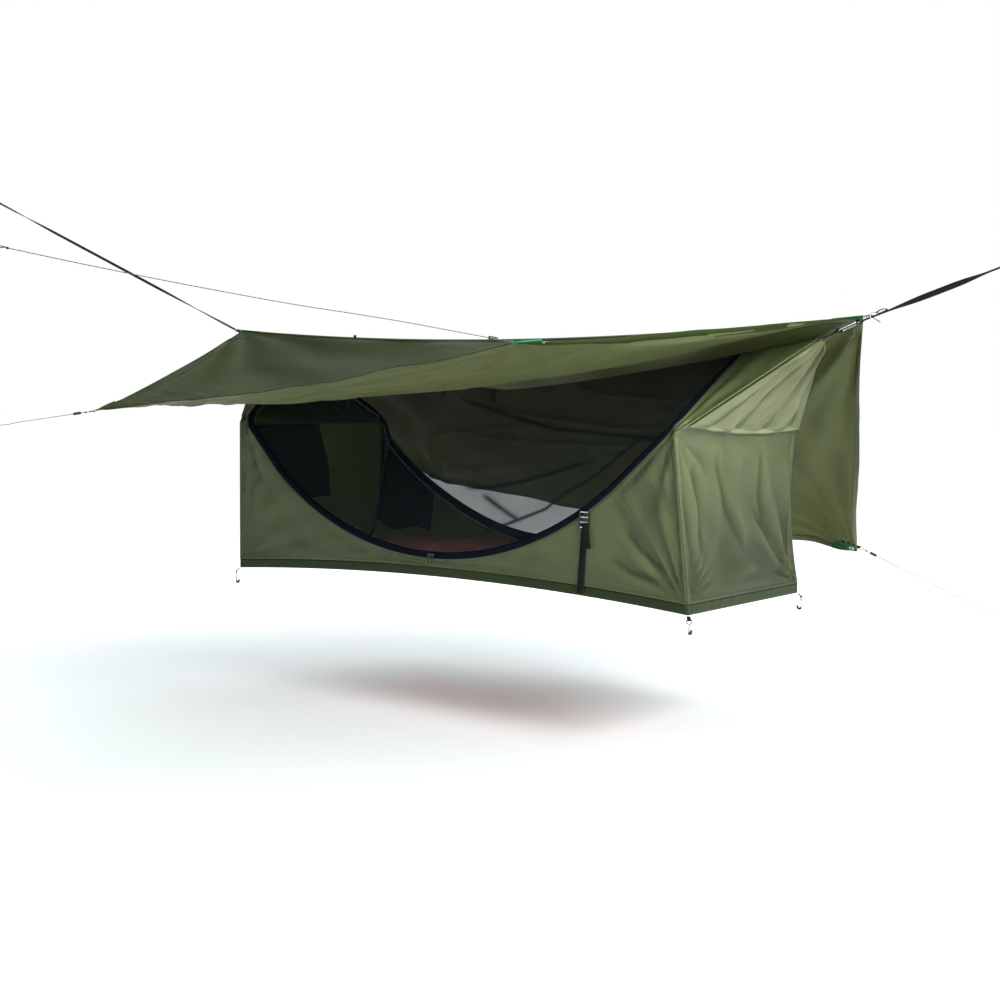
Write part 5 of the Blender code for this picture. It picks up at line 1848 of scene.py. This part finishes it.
def oval(middle, wide, high, corners, steps):
    """A hanging loop seen from the front; the lower corners is, the squarer its top and bottom."""
    path = []
    for step in range(steps):
        turn = TURN * step / steps
        x = wide * math.copysign(abs(math.cos(turn)) ** 0.8, math.cos(turn))
        z = high * math.copysign(abs(math.sin(turn)) ** corners, math.sin(turn))
        path.append(middle + Vector((x, 0, z)))
    return path


def build_small_tarp_fittings():
    spot = tarp_point(0.5 - small_tab_distance / ridge_span, 0.0, 1)
    spot.y = 0.0
    eye = spot + UP * 0.0075
    folded("ridge_small_tab", 0.009, 0.0022, 0.0008, 0.012, frame_along(eye, -UP, ALONG),
           tab_web, TARP)
    middle, size = middle_of("tie_loop")
    path = oval(middle, size.x / 2 - 0.0007, size.z / 2 - 0.0007, 0.6, 40)
    sweep("tie_loop_web", path, flat_section(size.y, 0.0013), navy_web, "door_tie",
          ("tie_loop",), across=ACROSS, closed=True)


def build_leads():
    """At each end: the navy peak loop, the oval clip and its gate."""
    for name, end in ENDS:
        lead = Vector((end * math.cos(lead_slope), 0, math.sin(lead_slope)))
        tip = Vector((end * half_peaks, 0, peak_height))
        near = tip + lead * peak_loop_length
        eye = near - lead * eye_slack
        place = frame_along(eye, -lead, ACROSS)
        length = (eye - peak(end)).length
        folded("peak_web_" + name, length, eye_radius, strap_ply, strap_width, place, navy_web,
               BODY, ("peak_loop_" + name,))
        for face in (-1, 1):
            for key, share in (("tip", 0.93), ("mid", 0.55)):
                at = place @ Vector((length * share, face * strap_ply * 1.12, 0))
                bar_tack(f"peak_tack_{name}_{key}_{'under' if face < 0 else 'over'}",
                         frame_along(at, lead, ACROSS), strap_width * 0.8, 0.006, 0.0005,
                         tan_thread if key == "tip" else dark_thread, BODY, passes=8)
        build_clip(name, frame_along(near, lead, ACROSS))


def build_clip(name, place):
    """An oval of wire, open at one long side, where the gate closes it."""
    half = clip_width / 2
    start = (clip_length - clip_length * gate_share) / 2
    low, high = clip_corner, clip_length - clip_corner
    quarter = math.pi / 2
    bent = [Vector((start, half, 0)), Vector((start * 0.8, half, 0))]
    bent += arc((low, half - clip_corner), clip_corner, quarter, 2 * quarter, 8)
    bent += arc((low, -half + clip_corner), clip_corner, 2 * quarter, 3 * quarter, 8)
    bent += [Vector((clip_length * 0.5, -half, 0))]
    bent += arc((high, -half + clip_corner), clip_corner, -quarter, 0, 8)
    bent += arc((high, half - clip_corner), clip_corner, 0, quarter, 8)
    bent += [Vector((clip_length - start * 0.8, half, 0)), Vector((clip_length - start, half, 0))]
    path = [place @ Vector((p.x, 0, p.y)) for p in bent]
    across = place.to_3x3() @ ACROSS
    sweep("clip_wire_" + name, path, round_section(clip_wire, 14), steel_look, BODY,
          ("clip_" + name,), across=across)
    gap = start + 0.0006
    near_end = [gap, gap + 0.001, gap + 0.004]
    far_end = [clip_length - x for x in reversed(near_end)]
    rod = [place @ Vector((x, 0, half)) for x in near_end + [clip_length / 2] + far_end]
    profile = (0.72, 1.0, 0.92, 0.92, 0.92, 1.0, 0.72)
    sweep("gate_rod_" + name, rod, round_section(clip_wire * 0.8, 14), steel_look, "clip_gate_" + name,
          ("gate_" + name,), across=across, swelling=lambda index: profile[index])


def ridge_spot(x):
    return Vector((x, 0, ridge_height(x)))


def build_frame_pieces():
    """The ridge cord, the spreader bars in their sleeves, and the loops for small things."""
    reach = half_peaks - peak_trim - ridge_cord_radius * 2
    line = [ridge_spot(reach * (2 * k / 120 - 1)) for k in range(121)]
    sweep("ridge_cord_line", line, round_section(ridge_cord_radius, 10), ridge_look, BODY,
          ("ridge_cord",))
    for name, _ in ENDS:
        keep("spreader_bar_" + name, alloy_look)
        middle, size = middle_of("spreader_bar_" + name)
        path = [middle + ACROSS * (size.y / 2 - 0.012) * (2 * k / 40 - 1) for k in range(41)]
        sweep("bar_sleeve_" + name, path, round_section(bar_radius + 0.0012, 18), wall_inside,
              BODY, swelling=lambda index: 1 + 0.05 * math.sin(index * 1.7))
        middle, size = middle_of("ceiling_loop_" + name)
        loop = oval(middle, (size.x / 2 - 0.0012) * 0.55, size.z / 2 - 0.0012, 0.7, 36)
        sweep("ceiling_web_" + name, loop, flat_section(size.y, 0.0022), tab_web, BODY,
              ("ceiling_loop_" + name,), across=ACROSS, closed=True)


def build_corner_seams():
    """Piping up each corner from the floor to the bar, and on to the peak."""
    rim = tub_height / spreader_height
    for name, end in ENDS:
        for side_name, side in (("front", -1), ("rear", 1)):
            line = [side_point(rim + (1 - rim) * step / 60, side) + side * ACROSS * 0.0002
                    for step in range(61)]
            tip = peak(1) + side * ACROSS * (strap_width / 2 - 0.001)
            line += [side_point(1.0, side).lerp(tip, step / 50) for step in range(1, 50)]
            path = [Vector((end * (point.x - 0.0016), point.y, point.z)) for point in line]
            sweep(f"corner_piping_{name}_{side_name}", path, round_section(corner_piping_radius, 8),
                  wall_hem, BODY)


def hook_line():
    """A stake hook: its flat ring round the tab, the shank and the bend at its lower end."""
    side = tab_width / 2 + hook_wire + touch_gap * 3
    shares = (
        (0.75, -0.80), (0.35, -1.0), (0.08, -0.97), (0.0, -0.86), (0.0, 0.0), (0.0, 0.86),
        (0.08, 0.97), (0.35, 1.0), (0.75, 0.80),
    )
    points = [Vector((hook_ring, 0, -hook_wire * 1.6))]
    points += [Vector((hook_ring * a, 0, side * b)) for a, b in shares]
    points += [Vector((hook_ring * 1.1, 0, hook_wire)), Vector((hook_ring * 1.4, 0, 0))]
    low = hook_ring * 1.4 + hook_shank
    turns = [math.pi * step / 8 for step in range(9)]
    bend = [(hook_bend * math.sin(a), hook_bend * (1 - math.cos(a))) for a in turns]
    for drop, out in bend + [(-hook_bend * 0.6, 2 * hook_bend)]:
        points.append(Vector((low + drop, out * math.cos(hook_turn), out * math.sin(hook_turn))))
    return points


def build_corner_hooks():
    corners = (("front_left", -1, -1), ("front_right", 1, -1), ("rear_right", 1, 1), ("rear_left", -1, 1))
    for name, end, side in corners:
        out = Vector((end, side, 0)).normalized()
        across = Vector((-out.y, out.x, 0))
        down = out * math.cos(tab_drop) - UP * math.sin(tab_drop)
        corner = Vector((end * half_floor, side * half_width, 0))
        eye = corner + down * (tub_cloth + touch_gap + tab_length)
        place = frame_along(eye, -down, across)
        folded("corner_tab_web_" + name, tab_length - 0.0004, tab_eye, strap_ply, tab_width, place,
               tab_web, BODY, ("corner_tab_" + name,))
        at = place @ Vector((tab_length * 0.75, -strap_ply * 1.1, 0))
        bar_tack("tab_tack_" + name, frame_along(at, down, across), tab_width * 0.7, 0.005, 0.0003,
                 dark_thread, BODY, passes=6)
        seat = Matrix.Translation(-UP * (tab_eye - hook_wire - touch_gap))
        hook_place = seat @ frame_along(eye, -UP, across)
        path = [hook_place @ p for p in curve_through(hook_line(), 5)]
        sweep("hook_wire_" + name, path, round_section(hook_wire, 10), plastic_look,
              "stake_hook_" + name, ("hook_" + name,),
              swelling=lambda index: 1 + 1.8 * smooth((index - 58) / 8))


def build_zip_pulls():
    """Each slider keeps its shape; its pull is a loop of cord with a knot near its end."""
    side = 0.0025
    long = 0.024
    outline = (
        (0, 0), (-side * 0.7, -side * 0.4), (-side, -side * 1.4), (-side * 0.8, -long * 0.9), (0, -long),
        (side * 0.8, -long * 0.9), (side, -side * 1.6), (side * 0.7, -side * 0.4),
    )
    for name, _ in ENDS:
        keep("slider_" + name, slider_look)
        middle, size = middle_of("pull_" + name)
        pivot = middle + UP * (size.z / 2 - 0.0012)
        points = [pivot + Vector((x, 0, z)) for x, z in outline]
        sweep("pull_cord_" + name, curve_through(points, 6, closed=True), round_section(0.0011, 8),
              pull_look, "zip_pull_" + name, ("pull_" + name,), closed=True)
        wrap("pull_knot_" + name, pivot - UP * (long * 0.86), UP, 0.0018, 0.0011, 2,
             pull_look, "zip_pull_" + name)


def build_front_strap():
    """The strap down the front wall, its ladder buckle with pale bars, and its hanging end."""
    middle, size = middle_of("front_strap")
    lean = 0.015
    path = []
    for step in range(41):
        share = step / 40
        x = front_strap_distance - lean * (1 - share)
        path.append(Vector((x, middle.y, middle.z + size.z * (share - 0.5))))
    sweep("front_strap_web", path, flat_section(front_strap_width, 0.0014), black_web, BODY,
          ("front_strap",), across=ALONG)
    middle, size = middle_of("strap_tail")
    near = middle.y + size.y / 2 - 0.0007
    flare = size.y - 0.0014
    path = []
    for step in range(25):
        share = step / 24
        x = front_strap_distance + 0.004 + lean * 1.2 * (1 - share)
        path.append(Vector((x, near - flare * smooth(1 - share), middle.z + size.z * (share - 0.5))))
    sweep("strap_tail_web", path, flat_section(front_strap_width, 0.0014), black_web, BODY,
          ("strap_tail",), across=ALONG)
    fold_line = [path[0] + Vector((0, -0.0008, 0.013 * (1 - k / 6))) for k in range(7)]
    sweep("strap_tail_fold", fold_line, flat_section(front_strap_width, 0.0009), black_web,
          BODY, across=ALONG)
    keep("ladder_buckle", plastic_look)
    middle, size = middle_of("ladder_buckle")
    front = middle.y - size.y / 2
    for row, look in enumerate((white_bar_look, grey_bar_look, grey_bar_look, grey_bar_look)):
        z = middle.z + (size.z - 0.006) * (row / 3 - 0.5)
        bar = [Vector((middle.x + front_strap_width * 0.56 * k / 4, front, z)) for k in range(-4, 5)]
        sweep(f"buckle_bar_{row}", bar, round_section(0.0019, 10), look, BODY,
              across=ACROSS)


def build_camera():
    """The photograph's view."""
    level = Vector((-math.sin(camera_turn), math.cos(camera_turn), 0))
    forward = level * math.cos(camera_tilt) + UP * math.sin(camera_tilt)
    right = forward.cross(UP).normalized()
    above = right.cross(forward)
    side = right * math.cos(camera_roll) + above * math.sin(camera_roll)
    top = above * math.cos(camera_roll) - right * math.sin(camera_roll)
    data = bpy.data.cameras.new("camera")
    data.lens = camera_lens
    data.sensor_width = camera_sensor
    camera = bpy.data.objects.new("camera", data)
    place = Matrix((side, top, -forward)).transposed().to_4x4()
    camera.matrix_world = Matrix.Translation(lowered(camera_spot)) @ place
    bpy.context.scene.collection.objects.link(camera)
    bpy.context.scene.camera = camera


def ramp(tree, value, low, high, at_low, at_high):
    """Adds a soft change to a node tree: at_low up to low, and at_high from high on."""
    node = tree.nodes.new("ShaderNodeMapRange")
    node.interpolation_type = "SMOOTHSTEP"
    tree.links.new(value, node.inputs["Value"])
    for name, level in (("From Min", low), ("From Max", high), ("To Min", at_low), ("To Max", at_high)):
        node.inputs[name].default_value = level
    return node.outputs["Result"]


def build_sky():
    """White round the horizon, where the camera looks, and dimmer overhead and behind the camera."""
    world = bpy.data.worlds.new("studio")
    world.use_nodes = True
    tree = world.node_tree
    background = tree.nodes["Background"]
    direction = tree.nodes.new("ShaderNodeTexCoord").outputs["Generated"]
    parts = tree.nodes.new("ShaderNodeSeparateXYZ")
    tree.links.new(direction, parts.inputs[0])
    overhead = ramp(tree, parts.outputs["Z"], 0.30, 0.80, 1.0, sky_top_level)
    behind = ramp(tree, parts.outputs["Y"], -0.60, 0.20, sky_near_level, 1.0)
    product = tree.nodes.new("ShaderNodeMath")
    product.operation = "MULTIPLY"
    tree.links.new(overhead, product.inputs[0])
    tree.links.new(behind, product.inputs[1])
    tree.links.new(product.outputs[0], background.inputs["Strength"])
    background.inputs["Color"].default_value = (1.0, 1.0, 1.0, 1.0)
    bpy.context.scene.world = world


def soft_light(name, place, power, size, colour):
    data = bpy.data.lights.new(name, "AREA")
    data.energy = power
    data.size = size
    data.color = colour
    lamp = bpy.data.objects.new(name, data)
    lamp.location = place
    lamp.rotation_euler = (light_aim - lamp.location).to_track_quat("-Z", "Y").to_euler()
    bpy.context.scene.collection.objects.link(lamp)


def build_studio():
    """A plain pale floor that glows, its glow dimmed near the tent as a painted shadow, the surround, a
    soft light from the right and a weaker one behind.
    """
    bpy.context.scene.view_settings.view_transform = "Standard"
    build_sky()
    shape = bmesh.new()
    bmesh.ops.create_grid(shape, x_segments=1, y_segments=1, size=studio_floor_reach)
    floor_mesh = bpy.data.meshes.new("studio_floor")
    shape.to_mesh(floor_mesh)
    shape.free()
    floor = bpy.data.objects.new("studio_floor", floor_mesh)
    floor.location = (0, 0, -studio_floor_drop - hang_height)
    bpy.context.scene.collection.objects.link(floor)
    paper = bpy.data.materials.new("studio_paper")
    paper.use_nodes = True
    shader = paper.node_tree.nodes["Principled BSDF"]
    shader.inputs["Base Color"].default_value = (*studio_paper, 1.0)
    shader.inputs["Roughness"].default_value = 0.9
    shader.inputs["Specular IOR Level"].default_value = 0.0
    tree = paper.node_tree
    distance = tree.nodes.new("ShaderNodeVectorMath")
    distance.operation = "LENGTH"
    tree.links.new(tree.nodes.new("ShaderNodeNewGeometry").outputs["Position"], distance.inputs[0])
    # Painted shadow: the floor's glow rises from dim near the tent to bright far away.
    glow_level = ramp(tree, distance.outputs["Value"], 2.0, 4.2, floor_glow_painted_shadow, floor_glow_far)
    tree.links.new(glow_level, shader.inputs["Emission Color"])
    shader.inputs["Emission Strength"].default_value = 1.0
    floor_mesh.materials.append(paper)
    soft_light("key", (5.6, -2.2, 2.3), 590.0, 2.2, (1.0, 0.985, 0.95))
    soft_light("back", (-2.4, 3.6, 3.6), 170.0, 3.0, (1.0, 0.99, 0.96))


build_camera()
build_tree_straps()
build_tarp_corners()
build_walls()
build_ends()
build_floor()
build_corner_seams()
build_doors()
build_pad()
build_pockets()
build_frame_pieces()
build_zip_pulls()
build_front_strap()
build_corner_hooks()
build_leads()
build_tarp_halves()
build_tarp_ends()
build_small_tarp_fittings()
build_studio()
